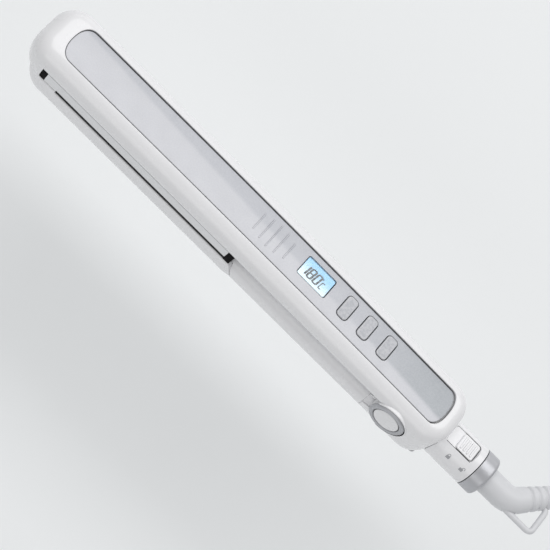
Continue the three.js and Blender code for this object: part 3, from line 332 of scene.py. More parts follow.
def prism(name, outline, axis, start, end):
    """An outline carried along an axis: (x, y) along z, (x, z) along y or (y, z) along x."""
    place = {
        "x": lambda a, b, t: (t, a, b),
        "y": lambda a, b, t: (a, t, b),
        "z": lambda a, b, t: (a, b, t),
    }[axis]
    return skin(name, [[place(a, b, t) for a, b in outline] for t in (start, end)], None)


def full_turn(segments):
    return [(cos(a), sin(a)) for a in (2 * pi * i / segments for i in range(segments))]


def turned(name, profile, axis, centre, segments=72):
    """A profile of (along, radius) points turned round an axis through centre. It starts and ends on the
    axis, or closes on itself."""
    bm = bmesh.new()
    closed = profile[0] == profile[-1]
    points = profile[:-1] if closed else profile
    rows = []
    for along, radius in points:
        row = []
        for c, s in full_turn(segments)[:1 if radius <= 0 else segments]:
            u, v = radius * c, radius * s
            place = {"x": (along, u, v), "y": (u, along, v), "z": (u, v, along)}[axis]
            row.append(bm.verts.new(Vector(place) + Vector(centre)))
        rows.append(row)
    pairs = list(zip(rows, rows[1:])) + ([(rows[-1], rows[0])] if closed else [])
    for low, high in pairs:
        for k in range(segments):
            following = (k + 1) % segments
            corners = [low[k % len(low)], low[following % len(low)]]
            corners += [high[following % len(high)], high[k % len(high)]]
            corners = list(dict.fromkeys(corners))
            if len(corners) > 2:
                bm.faces.new(corners)
    return finish_mesh(name, bm)


def rod(start, end, radius):
    """A cylinder's profile."""
    return [(start, 0), (start, radius), (end, radius), (end, 0)]


def block(x0, x1, y0, y1, z0, z1):
    return prism("tool", [(x0, y0), (x1, y0), (x1, y1), (x0, y1)], "z", z0, z1)


def tube(name, path, radius, segments=20):
    """A round bar along a path of points."""
    rings = []
    points = [Vector(p) for p in path]
    side = None
    for i, point in enumerate(points):
        along = (points[min(i + 1, len(points) - 1)] - points[max(i - 1, 0)]).normalized()
        if side is None:
            side = along.orthogonal().normalized()
        side = (side - along * side.dot(along)).normalized()
        other = along.cross(side)
        rings.append([point + (side * c + other * s) * radius for c, s in full_turn(segments)])
    return skin(name, rings, None)


def bake(piece):
    """Applies a piece's modifiers to its mesh."""
    bpy.context.view_layer.update()
    evaluated = piece.evaluated_get(bpy.context.evaluated_depsgraph_get())
    mesh = bpy.data.meshes.new_from_object(evaluated)
    piece.modifiers.clear()
    piece.data = mesh


def combine(piece, operation, tools):
    """Cuts, joins or crosses a piece with tools, which are used up."""
    for tool in tools:
        modifier = piece.modifiers.new("combine", "BOOLEAN")
        modifier.operation = operation
        modifier.object = tool
        modifier.solver = "MANIFOLD"
    bake(piece)
    for tool in tools:
        bpy.data.objects.remove(tool)
    return piece


def cut(piece, *tools):
    return combine(piece, "DIFFERENCE", tools)


def join(piece, *tools):
    return combine(piece, "UNION", tools)


def cross(piece, *tools):
    return combine(piece, "INTERSECT", tools)


def shade(piece, sharp_degrees=35, weighted=False):
    piece.data.polygons.foreach_set("use_smooth", [True] * len(piece.data.polygons))
    piece.data.set_sharp_from_angle(angle=radians(sharp_degrees))
    if weighted:
        modifier = piece.modifiers.new("normals", "WEIGHTED_NORMAL")
        modifier.keep_sharp = True
    return piece


# ---------------- materials


def srgb(r, g, b):
    """A colour from its 0..255 screen values."""

    def linear(value):
        value /= 255
        return value / 12.92 if value <= 0.04045 else ((value + 0.055) / 1.055) ** 2.4

    return (linear(r), linear(g), linear(b), 1.0)


def scaled(colour, factor):
    return tuple(min(1.0, value * factor) for value in colour[:3]) + (1.0,)


class Finish:
    """A node material, with short helpers for its procedural detail."""

    def __init__(self, name, roughness=0.4, metallic=0.0, coat=0.0):
        self.material = bpy.data.materials.new(name)
        self.material.use_nodes = True
        self.tree = self.material.node_tree
        self.shader = self.tree.nodes["Principled BSDF"]
        self.shader.inputs["Roughness"].default_value = roughness
        self.shader.inputs["Metallic"].default_value = metallic
        self.shader.inputs["Coat Weight"].default_value = coat
        self.shader.inputs["Coat Roughness"].default_value = 0.08
        self.place = self.node("ShaderNodeTexCoord").outputs["Object"]
        self.height = None

    def node(self, kind, **inputs):
        made = self.tree.nodes.new(kind)
        for key, value in inputs.items():
            made.inputs[key.replace("_", " ")].default_value = value
        return made

    def link(self, source, target):
        self.tree.links.new(source, target)

    def axes(self):
        split = self.node("ShaderNodeSeparateXYZ")
        self.link(self.place, split.inputs[0])
        return split.outputs

    def worked(self, operation, *values):
        """A maths node over values, each a number or another node's output."""
        made = self.node("ShaderNodeMath")
        made.operation = operation
        for socket, value in zip(made.inputs, values):
            if isinstance(value, float):
                socket.default_value = value
            else:
                self.link(value, socket)
        return made.outputs[0]

    def vector(self, **parts):
        made = self.node("ShaderNodeCombineXYZ")
        for axis, source in parts.items():
            self.link(source, made.inputs[axis])
        return made.outputs[0]

    def stretched(self, scale):
        mapping = self.node("ShaderNodeMapping", Scale=scale)
        self.link(self.place, mapping.inputs["Vector"])
        return mapping.outputs["Vector"]

    def noise(self, size_mm, detail=3.0, where=None):
        made = self.node("ShaderNodeTexNoise", Scale=1 / (size_mm * MM), Detail=detail)
        self.link(where or self.place, made.inputs["Vector"])
        return made.outputs["Fac"]

    def ranged(self, value, low, high, out_low=0.0, out_high=1.0, curve="SMOOTHSTEP"):
        made = self.node("ShaderNodeMapRange")
        made.interpolation_type = curve
        for key, number in (("From Min", low), ("From Max", high), ("To Min", out_low), ("To Max", out_high)):
            made.inputs[key].default_value = number
        self.link(value, made.inputs["Value"])
        return made.outputs["Result"]

    def mixed(self, share, colour_a, colour_b):
        made = self.node("ShaderNodeMix")
        made.data_type = "RGBA"
        sockets = {s.identifier: s for s in made.inputs}
        for key, colour in (("A_Color", colour_a), ("B_Color", colour_b)):
            if isinstance(colour, tuple):
                sockets[key].default_value = colour
            else:
                self.link(colour, sockets[key])
        self.link(share, sockets["Factor_Float"])
        return next(s for s in made.outputs if s.identifier == "Result_Color")

    def colour(self, source):
        self.link(source, self.shader.inputs["Base Color"])

    def rough(self, source, smoothest, roughest, low=0.3, high=0.7):
        uneven = self.ranged(source, low, high, smoothest, roughest, "LINEAR")
        self.link(uneven, self.shader.inputs["Roughness"])

    def bump(self, height, depth_mm, strength=1.0):
        made = self.node("ShaderNodeBump", Strength=strength, Distance=depth_mm * MM)
        self.link(height, made.inputs["Height"])
        if self.height:
            self.link(self.height, made.inputs["Normal"])
        self.height = made.outputs["Normal"]
        self.link(self.height, self.shader.inputs["Normal"])

    def painted_gap_shade(self, colour, reach_mm, dark):
        """Painted shade: the colour drifts to dark in gaps and grooves, where ambient occlusion finds that little
        light gets in.
        """
        open_sky = self.node("ShaderNodeAmbientOcclusion", Distance=reach_mm * MM)
        open_sky.samples = 12
        share = self.ranged(open_sky.outputs["AO"], 0.12, 0.62)
        return self.mixed(share, dark, colour)

    def worn(self, colour, towards, amount):
        """Edges drift towards another colour, as handled or worn edges do."""
        edge = self.node("ShaderNodeNewGeometry").outputs["Pointiness"]
        share = self.ranged(edge, 0.505, 0.58, 0.0, amount)
        return self.mixed(share, colour, towards)


def moulded(name, rgb, roughness, cloud=(0.03, 18), grain=(0.35, 0.004), coat=0.0, metallic=0.0, edge=1.06,
            gap_shade_rgb=None):
    """Moulded plastic or rubber: slow colour drift, uneven gloss, fine grain and slightly different edges.

    cloud is the drift's strength and size, and grain the bumps' size and depth. Sizes are in mm."""
    base = srgb(*rgb)
    drift, cloud_mm = cloud
    gap_reach = 1.7
    finish = Finish(name, roughness, metallic, coat)
    slow = finish.noise(cloud_mm)
    drifted = finish.mixed(slow, scaled(base, 1 - drift), scaled(base, 1 + drift))
    toned = finish.worn(drifted, scaled(base, edge), 0.6)
    # Given a gap colour, painted shade darkens the colour in gaps and grooves.
    finish.colour(finish.painted_gap_shade(toned, gap_reach, srgb(*gap_shade_rgb)) if gap_shade_rgb else toned)
    finish.rough(finish.noise(cloud_mm / 3), roughness * 0.85, roughness * 1.15)
    finish.bump(finish.noise(grain[0]), grain[1])
    return finish.material


def brushed(name, rgb, roughness, stretch, line=(0.12, 0.004), metallic=1.0):
    """Metal with lines drawn along one direction. line is their width and depth in mm."""
    base = srgb(*rgb)
    finish = Finish(name, roughness, metallic)
    lines = finish.noise(line[0], 4.0, finish.stretched(stretch))
    slow = finish.noise(12)
    toned = finish.mixed(lines, scaled(base, 0.86), scaled(base, 1.1))
    finish.colour(finish.worn(finish.mixed(slow, toned, base), scaled(base, 1.25), 0.5))
    finish.rough(lines, roughness * 0.8, roughness * 1.25)
    finish.bump(lines, line[1])
    return finish.material


def turned_metal(name, rgb, roughness, metallic):
    """Metal turned about the hinge pin, with fine rings round its face."""
    base = srgb(*rgb)
    finish = Finish(name, roughness, metallic)
    place = finish.axes()
    flat = finish.vector(X=place["X"], Y=finish.worked("SUBTRACT", place["Z"], PIN_Z * MM))
    length = finish.node("ShaderNodeVectorMath")
    length.operation = "LENGTH"
    finish.link(flat, length.inputs[0])
    lines = finish.noise(0.14, 4.0, finish.vector(X=length.outputs["Value"]))
    finish.colour(finish.mixed(lines, scaled(base, 0.9), scaled(base, 1.08)))
    finish.rough(lines, roughness * 0.8, roughness * 1.25)
    finish.bump(lines, 0.003)
    return finish.material


def panel_lacquer():
    """Silver lacquer with fine flakes, with a painted reflection that pales its near half and painted shade that
    darkens its rear end.
    """
    base, pale, deep = srgb(180, 182, 188), srgb(193, 194, 199), srgb(162, 166, 171)
    finish = Finish("panel_lacquer", 0.38, 0.15, coat=0.15)
    place = finish.axes()
    # Painted reflection: a pale band over the near half, bounded by a slanted line.
    slope = finish.worked("MULTIPLY_ADD", place["X"], 0.055, place["Y"])
    near = finish.ranged(slope, -0.0035, -0.0062)
    # Painted shade: the rear end of the panel turns darker.
    rear = finish.ranged(place["X"], -0.05, 0.012)
    ground = finish.mixed(rear, base, deep)
    with_painted_reflection = finish.mixed(near, ground, pale)
    flakes = finish.ranged(finish.noise(0.6, 2.0), 0.35, 0.65, 0.0, 0.06)
    finish.colour(finish.mixed(flakes, with_painted_reflection, (1.0, 1.0, 1.0, 1.0)))
    finish.rough(finish.noise(7), 0.34, 0.42)
    finish.bump(finish.noise(0.6), 0.001)
    return finish.material


def button_lacquer():
    """Silver lacquer with a soft mottle, as on the keys."""
    finish = Finish("button_lacquer", 0.46, 0.15, coat=0.05)
    mottle = finish.ranged(finish.noise(1.3, 5.0), 0.32, 0.68)
    toned = finish.mixed(mottle, srgb(172, 174, 179), srgb(194, 195, 199))
    finish.colour(finish.worn(toned, srgb(244, 244, 246), 0.9))
    finish.rough(mottle, 0.42, 0.54, 0.0, 1.0)
    finish.bump(finish.noise(0.4), 0.006)
    return finish.material


def clear_lens():
    finish = Finish("clear_lens", 0.05)
    clear = finish.node("ShaderNodeBsdfTransparent", Color=(0.97, 0.99, 1.0, 1.0))
    gloss = finish.node("ShaderNodeBsdfGlossy", Color=(1.0, 1.0, 1.0, 1.0))
    finish.link(finish.ranged(finish.noise(6), 0.3, 0.7, 0.03, 0.09, "LINEAR"), gloss.inputs["Roughness"])
    facing = finish.node("ShaderNodeFresnel", IOR=1.45)
    blend = finish.node("ShaderNodeMixShader")
    finish.link(facing.outputs[0], blend.inputs[0])
    finish.link(clear.outputs[0], blend.inputs[1])
    finish.link(gloss.outputs[0], blend.inputs[2])
    out = next(n for n in finish.tree.nodes if n.type == "OUTPUT_MATERIAL")
    finish.link(blend.outputs[0], out.inputs["Surface"])
    return finish.material


def backlit_display():
    """Light blue at the far edge, nearly white at the near one, with a faint grid of cells."""
    finish = Finish("backlit_display", 0.35)
    place = finish.axes()
    slope = 0.12
    tilt = finish.worked("MULTIPLY_ADD", place["X"], slope, place["Y"])
    middle = (LENS.cy + slope * LENS.cx) * MM
    share = finish.ranged(tilt, middle - 0.0045, middle + 0.0038)
    ground = finish.mixed(share, srgb(238, 248, 252), srgb(150, 203, 236))
    cells = finish.node("ShaderNodeTexChecker", Scale=1 / (0.3 * MM))
    finish.link(finish.place, cells.inputs["Vector"])
    faint = finish.ranged(cells.outputs["Fac"], 0, 1, 0.0, 0.05, "LINEAR")
    gridded = finish.mixed(faint, ground, srgb(120, 170, 205))
    finish.colour(gridded)
    finish.link(gridded, finish.shader.inputs["Emission Color"])
    finish.shader.inputs["Emission Strength"].default_value = 0.25
    finish.bump(finish.noise(0.5), 0.002)
    return finish.material


def circuit_board():
    finish = Finish("circuit_board", 0.45, coat=0.3)
    tracks = finish.node("ShaderNodeTexBrick", Scale=1 / (7 * MM))
    tracks.inputs["Color1"].default_value = srgb(26, 96, 54)
    tracks.inputs["Color2"].default_value = srgb(30, 108, 60)
    tracks.inputs["Mortar"].default_value = srgb(62, 140, 84)
    finish.link(finish.place, tracks.inputs["Vector"])
    finish.colour(tracks.outputs["Color"])
    finish.bump(tracks.outputs["Fac"], 0.03)
    return finish.material


MATERIALS = {
    # The gloss white shell carries painted shade in its gaps and grooves.
    "shell": moulded("gloss_white", (236, 236, 238), 0.26, (0.012, 18), (0.9, 0.0016), coat=0.3, edge=1.05,
                     gap_shade_rgb=(70, 71, 74)),
    "inner_shell": moulded("satin_white", (228, 229, 231), 0.36, (0.02, 18), (0.3, 0.003)),
    "panel": panel_lacquer(),
    "button": button_lacquer(),
    "lens": clear_lens(),
    "display": backlit_display(),
    "ink": moulded("display_ink", (22, 28, 36), 0.3, (0.05, 3)),
    "icon": moulded("printed_grey", (162, 163, 167), 0.45, (0.06, 2)),
    "trim": turned_metal("turned_silver", (186, 187, 191), 0.42, 0.45),
    "collar": moulded("satin_silver", (188, 189, 193), 0.36, (0.03, 8), (0.4, 0.002), metallic=0.45),
    "block": moulded("heat_proof_black", (7, 7, 8), 0.75, (0.12, 5), (0.2, 0.01), edge=1.4),
    "plate": brushed("ceramic_coat", (24, 24, 26), 0.3, (1, 14, 14), (0.5, 0.001), 0.2),
    "steel": brushed("spring_steel", (176, 177, 180), 0.3, (1, 10, 10)),
    "heater": moulded("polyimide_wrap", (178, 126, 58), 0.4, (0.12, 6), (1.2, 0.03), coat=0.4),
    "silicone": moulded("red_silicone", (168, 70, 50), 0.62, (0.06, 4), (0.25, 0.012)),
    "board": circuit_board(),
    "switch": moulded("black_nylon", (40, 40, 43), 0.48, (0.1, 4), (0.25, 0.01), edge=1.5),
    "bush": moulded("natural_nylon", (217, 210, 189), 0.45, (0.04, 4), (0.3, 0.008)),
    "boot": moulded("soft_grey", (214, 215, 218), 0.42, (0.02, 9), (0.3, 0.006), edge=1.03),
    "cord": moulded("cord_sheath", (222, 222, 224), 0.48, (0.02, 8), (0.4, 0.008)),
}

for dull in ("block", "plate"):
    MATERIALS[dull].node_tree.nodes["Principled BSDF"].inputs["Specular IOR Level"].default_value = 0.12


def dress(piece, material):
    piece.data.materials.clear()
    piece.data.materials.append(MATERIALS[material])


def stands_for(piece, node, material):
    """The piece takes a CAD node's place on that node's body."""
    dress(piece, material)
    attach(piece, BODY_OF[node])
    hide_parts(node)


# ---------------- upper arm


def top_z(x):
    behind = max(0.0, x - TOP_FALL_X)
    return UPPER.z1 - behind * behind / (2 * TOP_FALL_R)


def shoulder_drop(x, y):
    """How far the shell's top surface lies under its top line at a plan point."""
    inset, r = min((UPPER.y1 - abs(y), SIDE_R), (x - UPPER.x0, TIP_SIDE_R), (UPPER.x1 - x, REAR_SIDE_R))
    if inset >= r:
        return 0.0
    return r - sqrt(r * r - (r - inset) ** 2)


def upper_places():
    """Places along the straight side from rear to tip, with the height of the lower edge at each."""
    edge_step = 0.02
    hub = [(x, HUB_EDGE_Z) for x in spread(UPPER.x1 - REAR_PLAN_R - 1, HUB_FRONT_X, 10)]
    arm = [(x, ARM_EDGE_Z) for x in spread(HUB_FRONT_X - edge_step, BAY_X + edge_step, 90)]
    nose = [(x, NOSE_EDGE_Z) for x in spread(BAY_X, UPPER.x0 + TIP_PLAN_R + 0.3, 1)]
    return hub + arm + nose


def smooth_step(t):
    t = min(1.0, max(0.0, t))
    return t * t * (3 - 2 * t)


class UpperForm:
    """The upper arm's outer form: its plan outline, lower edge and shoulder radius at each point."""

    def __init__(self):
        places = upper_places()
        self.side_xs = [x for x, _ in places]
        self.bar = Bar(UPPER.x0, UPPER.x1, UPPER.y1, TIP_PLAN_R, REAR_PLAN_R, self.side_xs)
        points = self.bar.points
        tip_count = len(points) - self.bar.first_tip
        self.edge = [HUB_EDGE_Z] * self.bar.first_side + [z for _, z in places] + [NOSE_EDGE_Z] * tip_count
        self.radius = []
        for _, _, nx, _ in points:
            end_r = REAR_SIDE_R if nx > 0 else TIP_SIDE_R
            self.radius.append(SIDE_R + (end_r - SIDE_R) * smooth_step(abs(nx)))

    def tuck(self, k, z):
        above = (z - self.edge[k]) / TUCK_HEIGHT
        return TUCK * max(0.0, 1 - above) ** 2

    def wall_ring(self, share):
        """The side at a share of the way from the lower edge up to the shoulder."""
        heights = []
        for k, (x, _, _, _) in enumerate(self.bar.points):
            low = self.edge[k] + LIP
            heights.append(low + (top_z(x) - self.radius[k] - low) * share)
        insets = [self.tuck(k, z) for k, z in enumerate(heights)]
        return self.bar.ring(insets, heights)

    def shoulder_ring(self, angle):
        heights = []
        insets = []
        for k, (x, _, nx, _) in enumerate(self.bar.points):
            r = self.radius[k]
            inset = r * (1 - cos(angle))
            z = top_z(x - inset * nx) - r * (1 - sin(angle))
            heights.append(z)
            insets.append(inset + self.tuck(k, z))
        return self.bar.ring(insets, heights)

    def outer_rings(self):
        walls = [self.wall_ring(share) for share in (0, 0.12, 0.3, 0.55, 0.8, 1)]
        return walls + [self.shoulder_ring(a) for a in spread(0, SHOULDER_END, 11)[1:]]


def panel_ring(form, inset, far_gap, height):
    """The panel's outline moved in by inset, with elliptical ends and as many points as the arm's."""
    x0, x1 = PANEL.x0 + inset, PANEL.x1 - inset - far_gap
    half = PANEL.y1 - inset - far_gap / 2
    share = half / PANEL.y1
    tip_depth, rear_depth = PANEL_TIP_DEPTH * share, PANEL_REAR_DEPTH * share
    tip_c, rear_c = x0 + tip_depth, x1 - rear_depth
    steps = form.bar.first_side - 1
    curve = [(cos(a) ** PANEL_FULLNESS, sin(a) ** PANEL_FULLNESS) for a in spread(0, QUARTER, steps)]
    far = [(rear_c + rear_depth * u, half * v) for u, v in curve]
    far += [(x, half) for x in form.bar.mapped_sides(form.side_xs, rear_c, tip_c)]
    far += [(tip_c - tip_depth * u, half * v) for u, v in reversed(curve)]
    outline = far + [(x, -y) for x, y in far[1:-1][::-1]]
    middle = -far_gap / 2
    return [(x, middle + y, height(x, middle + y)) for x, y in outline]


def plug(name, x, y, w, h, r, levels, follow=True):
    """An upright piece with a rounded outline, through (growth, height) levels. The heights count from the
    arm's top line if it follows that, or from the floor."""
    xs = spread(x + w / 2 - r, x - w / 2 + r, 6)[1:-1]
    outline = Bar(x - w / 2, x + w / 2, h / 2, r, r, xs, corner=8, end=6, y=y)
    rings = []
    for grow, z in levels:
        rings.append(outline.ring(-grow, (lambda px, py: top_z(px) + z) if follow else z))
    return skin(name, rings)


def round_pin(name, profile):
    return turned(name, profile, "y", (0, 0, PIN_Z), 96)


def across(x0, x1):
    """A block wider and deeper than the arms."""
    half, low, high = 25, -5, 30
    return block(x0, x1, -half, half, low, high)


def hinge_cylinder(y0, y1, radius):
    return round_pin("tool", rod(y0, y1, radius))


def arch(side):
    """The round opening over the ear."""
    return hinge_cylinder(side * (EAR_Y0 - 0.3), side * (UPPER.y1 + 2), ARCH_R)


def near_pod():
    """The raised rim round the near ear, where it belongs to the upper arm and the hub."""
    edge = 0.3
    face = UPPER.y0 - 0.15
    profile = [(-EAR_Y0, 0), (-EAR_Y0, POD_R)]
    profile += [(face + edge - a, b + POD_R - edge) for a, b in arc(0, 0, edge, QUARTER, 0, 5)]
    profile.append((face, 0))
    pod = round_pin("tool", profile)
    reach = 30
    below_arm = block(-reach, HUB_FRONT_X, -reach, reach, -reach, ARM_EDGE_Z)
    below_hub = block(HUB_FRONT_X - 1, reach, -reach, reach, -reach, HUB_EDGE_Z + LIP)
    return cut(pod, below_arm, below_hub)


def round_neck(name, profile, segments=96):
    return turned(name, profile, "x", (0, 0, NECK_Z), segments)


def neck_cylinder(x0, x1, radius):
    return round_neck("tool", rod(x0, x1, radius))


def neck_seats():
    """The bore and the groove in the hub that hold the neck's spigot and its flange."""
    return [
        neck_cylinder(UPPER.x1 - 8, UPPER.x1 + 2, SPIGOT_R + SEAT_PLAY),
        neck_cylinder(UPPER.x1 - 5.2, UPPER.x1 - 2.4, FLANGE_R + SEAT_PLAY),
    ]


def button_centres():
    return [(name, Extent(name + "_button").cx, Extent(name + "_button").cy) for name in BUTTONS]


def hub_form(grow):
    """The hub's outer form as one solid, to trim what meets it."""
    front, high, side_reach = -20, 22, 25
    rear, bottom = UPPER.x1 + grow, HUB_COVER.z0 - grow
    side = [(rear, high), (front, high), (front, bottom)]
    corner_x, corner_z = UPPER.x1 - HUB_BOTTOM_R, HUB_COVER.z0 + HUB_BOTTOM_R
    side += arc(corner_x, corner_z, HUB_BOTTOM_R + grow, 3 * QUARTER, 4 * QUARTER, 12)
    plan = Bar(front, rear, UPPER.y1 + grow, TIP_PLAN_R, REAR_PLAN_R + grow, (0,), corner=24)
    outline = [(x, y) for x, y, _ in plan.ring(0, 0)]
    form = prism("tool", outline, "z", -5, high + 1)
    return cross(form, prism("tool", side, "y", -side_reach, side_reach))


def upper_shell():
    form = UpperForm()
    bar = form.bar
    rings = []
    for inset, drop in ((WALL + 5, 0), (WALL + 2.5, 0.2), (WALL + 0.6, 1.6), (WALL, 3.4)):
        rings.append(bar.ring(inset, lambda x, y: top_z(x) - CEILING_DEPTH - drop, BAY_X))
    for inset, lift, first_x in (
        (WALL, 0.2, BAY_X),
        (WALL - 0.2, 0, BAY_X),
        (TUCK + LIP, 0, None),
        (TUCK + LIP * 0.3, LIP * 0.3, None),
    ):
        rings.append(bar.ring(inset, [z + lift for z in form.edge], first_x))
    rings += form.outer_rings()

    def surface(x, y):
        return top_z(x) - shoulder_drop(x, y)

    lip = panel_ring(form, -PANEL_NEAR_GAP - LIP, 0, surface)
    last = rings[-1]
    for share in (0.3, 0.65):
        between = [Vector(a).lerp(Vector(b), share) for a, b in zip(last, lip)]
        rings.append([(p.x, p.y, surface(p.x, p.y)) for p in between])
    rings.append(lip)
    for down, inward in fillet(LIP, 4)[1:]:
        rings.append(panel_ring(form, -PANEL_NEAR_GAP - inward, 0, lambda x, y: surface(x, y) - down))
    rings.append(panel_ring(form, -PANEL_NEAR_GAP, 0, lambda x, y: top_z(x) - SEAT_DEPTH))

    shell = skin("upper_shell", rings)
    through = -9
    tools = [plug("tool", LENS.cx, LENS.cy, *WINDOW_FLOOR, [(0, through), (0, 1)])]
    for _, x, y in button_centres():
        tools.append(plug("tool", x, y, *BUTTON, [(BUTTON_GAP, through), (BUTTON_GAP, 1)]))
    join(shell, near_pod())
    tools += [arch(1), arch(-1)] + neck_seats()
    cut(shell, *tools)
    stands_for(shade(shell, 32, True), "upper_housing", "shell")


def crown(y):
    share = (y / PANEL.y1) ** 2
    return PANEL_CROWN * (1 - share)


def panel_top(x, y):
    """The panel's face: crowned, level with the shell at its near edge and a little lower at its far one."""
    sink = 0.2 * smooth_step((y + PANEL.y1) / (2 * PANEL.y1))
    return top_z(x) + crown(y) - sink


def flared(gap, flare):
    """Levels of a hole through the panel that opens out towards its face."""
    return [(gap, -3), (gap, 0.1), (gap + flare, 0.5), (gap + flare, 2)]


def panel_face():
    form = UpperForm()
    far_gap = PANEL_FAR_GAP - PANEL_NEAR_GAP
    rings = [panel_ring(form, 0, far_gap, lambda x, y: top_z(x) - SEAT_DEPTH + 0.1)]
    for inward, down in fillet(PANEL_EDGE, 4):
        rings.append(panel_ring(form, inward, far_gap, lambda x, y: panel_top(x, y) - down))
    for inset in (1.2, 2.4, 3.8, 5.2, 6.6, 7.6):
        rings.append(panel_ring(form, inset, far_gap, panel_top))
    face = skin("panel_face", rings)

    ribs = []
    for x, length in RIB_PLACES:
        rib = Bar(x - 0.42, x + 0.42, length / 2, 0.4, 0.4, (x,), corner=5, end=10)
        rings = []
        for inset, lift in ((0, -1.0), (0, 0.1), (0.08, 0.22), (0.22, 0.3)):
            rings.append(rib.ring(inset, lambda px, py: top_z(x) + crown(py) - 0.1 + lift))
        ribs.append(skin("tool", rings))
    join(face, *ribs)

    window = plug("tool", LENS.cx, LENS.cy, *WINDOW, flared(0.25, 0.25))
    holes = [window]
    for _, x, y in button_centres():
        holes.append(plug("tool", x, y, *BUTTON, flared(BUTTON_GAP, 0.3)))
    cut(face, *holes)
    stands_for(shade(face, 30, True), "control_panel", "panel")


def rounded_levels(low, high, edge):
    """Levels of a plug with a rounded top edge."""
    return [(0, low)] + [(-inward, high - down) for inward, down in fillet(edge, 4)]


def key_cap(name, x, y):
    """A key: a cap with a rolled edge and a shallow dish, over a retaining flange and a short stem."""
    node = name + "_button"
    high = PANEL_CROWN + BUTTON_PROUD
    levels = rounded_levels(-CEILING_DEPTH - 0.6, high, 0.55)
    levels += [(-0.9, high - 0.02), (-1.3, high - 0.08), (-1.7, high - 0.1)]
    cap = plug(name + "_key", x, y, *BUTTON, levels)
    box = Extent(node)
    ceiling = top_z(x + BUTTON[0]) - CEILING_DEPTH
    flange = plug("tool", x, y, box.x1 - box.x0, box.y1 - box.y0, 1,
                  [(0, ceiling - 1.2), (0, ceiling - 0.25)], follow=False)
    stem = turned("tool", rod(box.z0, ceiling - 0.5, 1.6), "z", (x, y, 0), 32)
    join(cap, flange, stem)
    stands_for(shade(cap, 32, weighted=True), node, "button")


def display_lens():
    levels = rounded_levels(-0.3, PANEL_CROWN - 0.05, 0.3)
    lens = plug("display_lens", LENS.cx, LENS.cy, *WINDOW, levels)
    stands_for(shade(lens), "lcd_lens", "lens")


SEGMENTS = {  # two ends on a grid of 1 across and 2 up
    "a": ((0, 2), (1, 2)),
    "b": ((1, 2), (1, 1)),
    "c": ((1, 1), (1, 0)),
    "d": ((0, 0), (1, 0)),
    "e": ((0, 1), (0, 0)),
    "f": ((0, 2), (0, 1)),
    "g": ((0, 1), (1, 1)),
}
SLANT = 0.17
INK_HEIGHT = 0.05


def segment(bm, start, end, stroke, place):
    """One bar of a figure with pointed ends, as a thin closed prism."""
    a, b = Vector(start), Vector(end)
    along = (b - a).normalized()
    side = Vector((-along.y, along.x)) * stroke / 2
    a, b = a - along * 0.04, b + along * 0.04
    tip = along * stroke * 0.3
    outline = [a, a + tip + side, b - tip + side, b, b - tip - side, a + tip - side]
    add_form(bm, [[place(p, lift) for p in outline] for lift in (0, INK_HEIGHT)])


def figures():
    """A temperature in seven-segment figures, 180, with a degree mark and a small C."""
    bm = bmesh.new()

    def place(p, lift):
        x = LENS.cx - 0.8 + p.x + SLANT * (p.y + 2.7)
        return (x, LENS.cy + p.y, top_z(x) + DISPLAY_FACE + 0.01 + lift)

    low, height, width = -3.1, 5.2, 2.35
    upright, level = 0.95, 0.7  # strokes of the upright and the level bars
    for left, bars in ((-5.7, "bc"), (-3.2, "abcdefg"), (0.4, "abcdef")):
        for bar in bars:
            ends = [Vector((left + u * width, low + v * height / 2)) for u, v in SEGMENTS[bar]]
            if bars == "bc":
                ends = [Vector((left + width * 0.55, e.y)) for e in ends]
            segment(bm, ends[0], ends[1], level if bar in "adg" else upright, place)
    small_w, small_h = 1.4, 3.4
    for bar in "ade":
        ends = [Vector((4.3 + u * small_w, low + v * small_h / 2)) for u, v in SEGMENTS[bar]]
        segment(bm, ends[0], ends[1], 0.5, place)
    ends = [Vector((4.3, low + small_h)), Vector((4.3, low + small_h / 2))]
    segment(bm, ends[0], ends[1], 0.5, place)
    degree = [Vector((3.35 + 0.42 * cos(a), low + height - 0.5 + 0.42 * sin(a)))
              for a in spread(0, 2 * pi, 4)]
    for start, end in zip(degree, degree[1:]):
        segment(bm, start, end, 0.26, place)
    digits = finish_mesh("display_figures", bm, merge=1e-5)
    dress(digits, "ink")
    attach(digits, BODY_OF["lcd_module"])


def display_module():
    """The display: a module under the housing's floor with its lit face standing up through the window."""
    base_w, base_h = MODULE.x1 - MODULE.x0, MODULE.y1 - MODULE.y0
    body = plug("display_body", LENS.cx, LENS.cy, base_w, base_h, 0.6,
                [(0, MODULE.z0), (0, MODULE.z1)], follow=False)
    levels = [(0, -6), (0, DISPLAY_FACE - 0.1), (-0.1, DISPLAY_FACE)]
    column = plug("tool", LENS.cx, LENS.cy + 0.1, 16.6, 10.3, 0.7, levels)
    join(body, column)
    stands_for(shade(body), "lcd_module", "display")
    body.data.materials.append(MATERIALS["switch"])
    for face in body.data.polygons:
        face.material_index = 0 if face.normal.z > 0.5 else 1


# ---------------- lower arm


def step_share(x):
    """0 beside the plates, 1 along the handle, along an S-curve between."""
    return smooth_step((x - STEP_X0) / (STEP_X1 - STEP_X0))


def lower_rim(x):
    if x < LOWER_PLATE.x0 - 0.31:
        return NOSE_RIM_Z
    return PLATE_RIM_Z + (HANDLE_RIM_Z - PLATE_RIM_Z) * step_share(x)


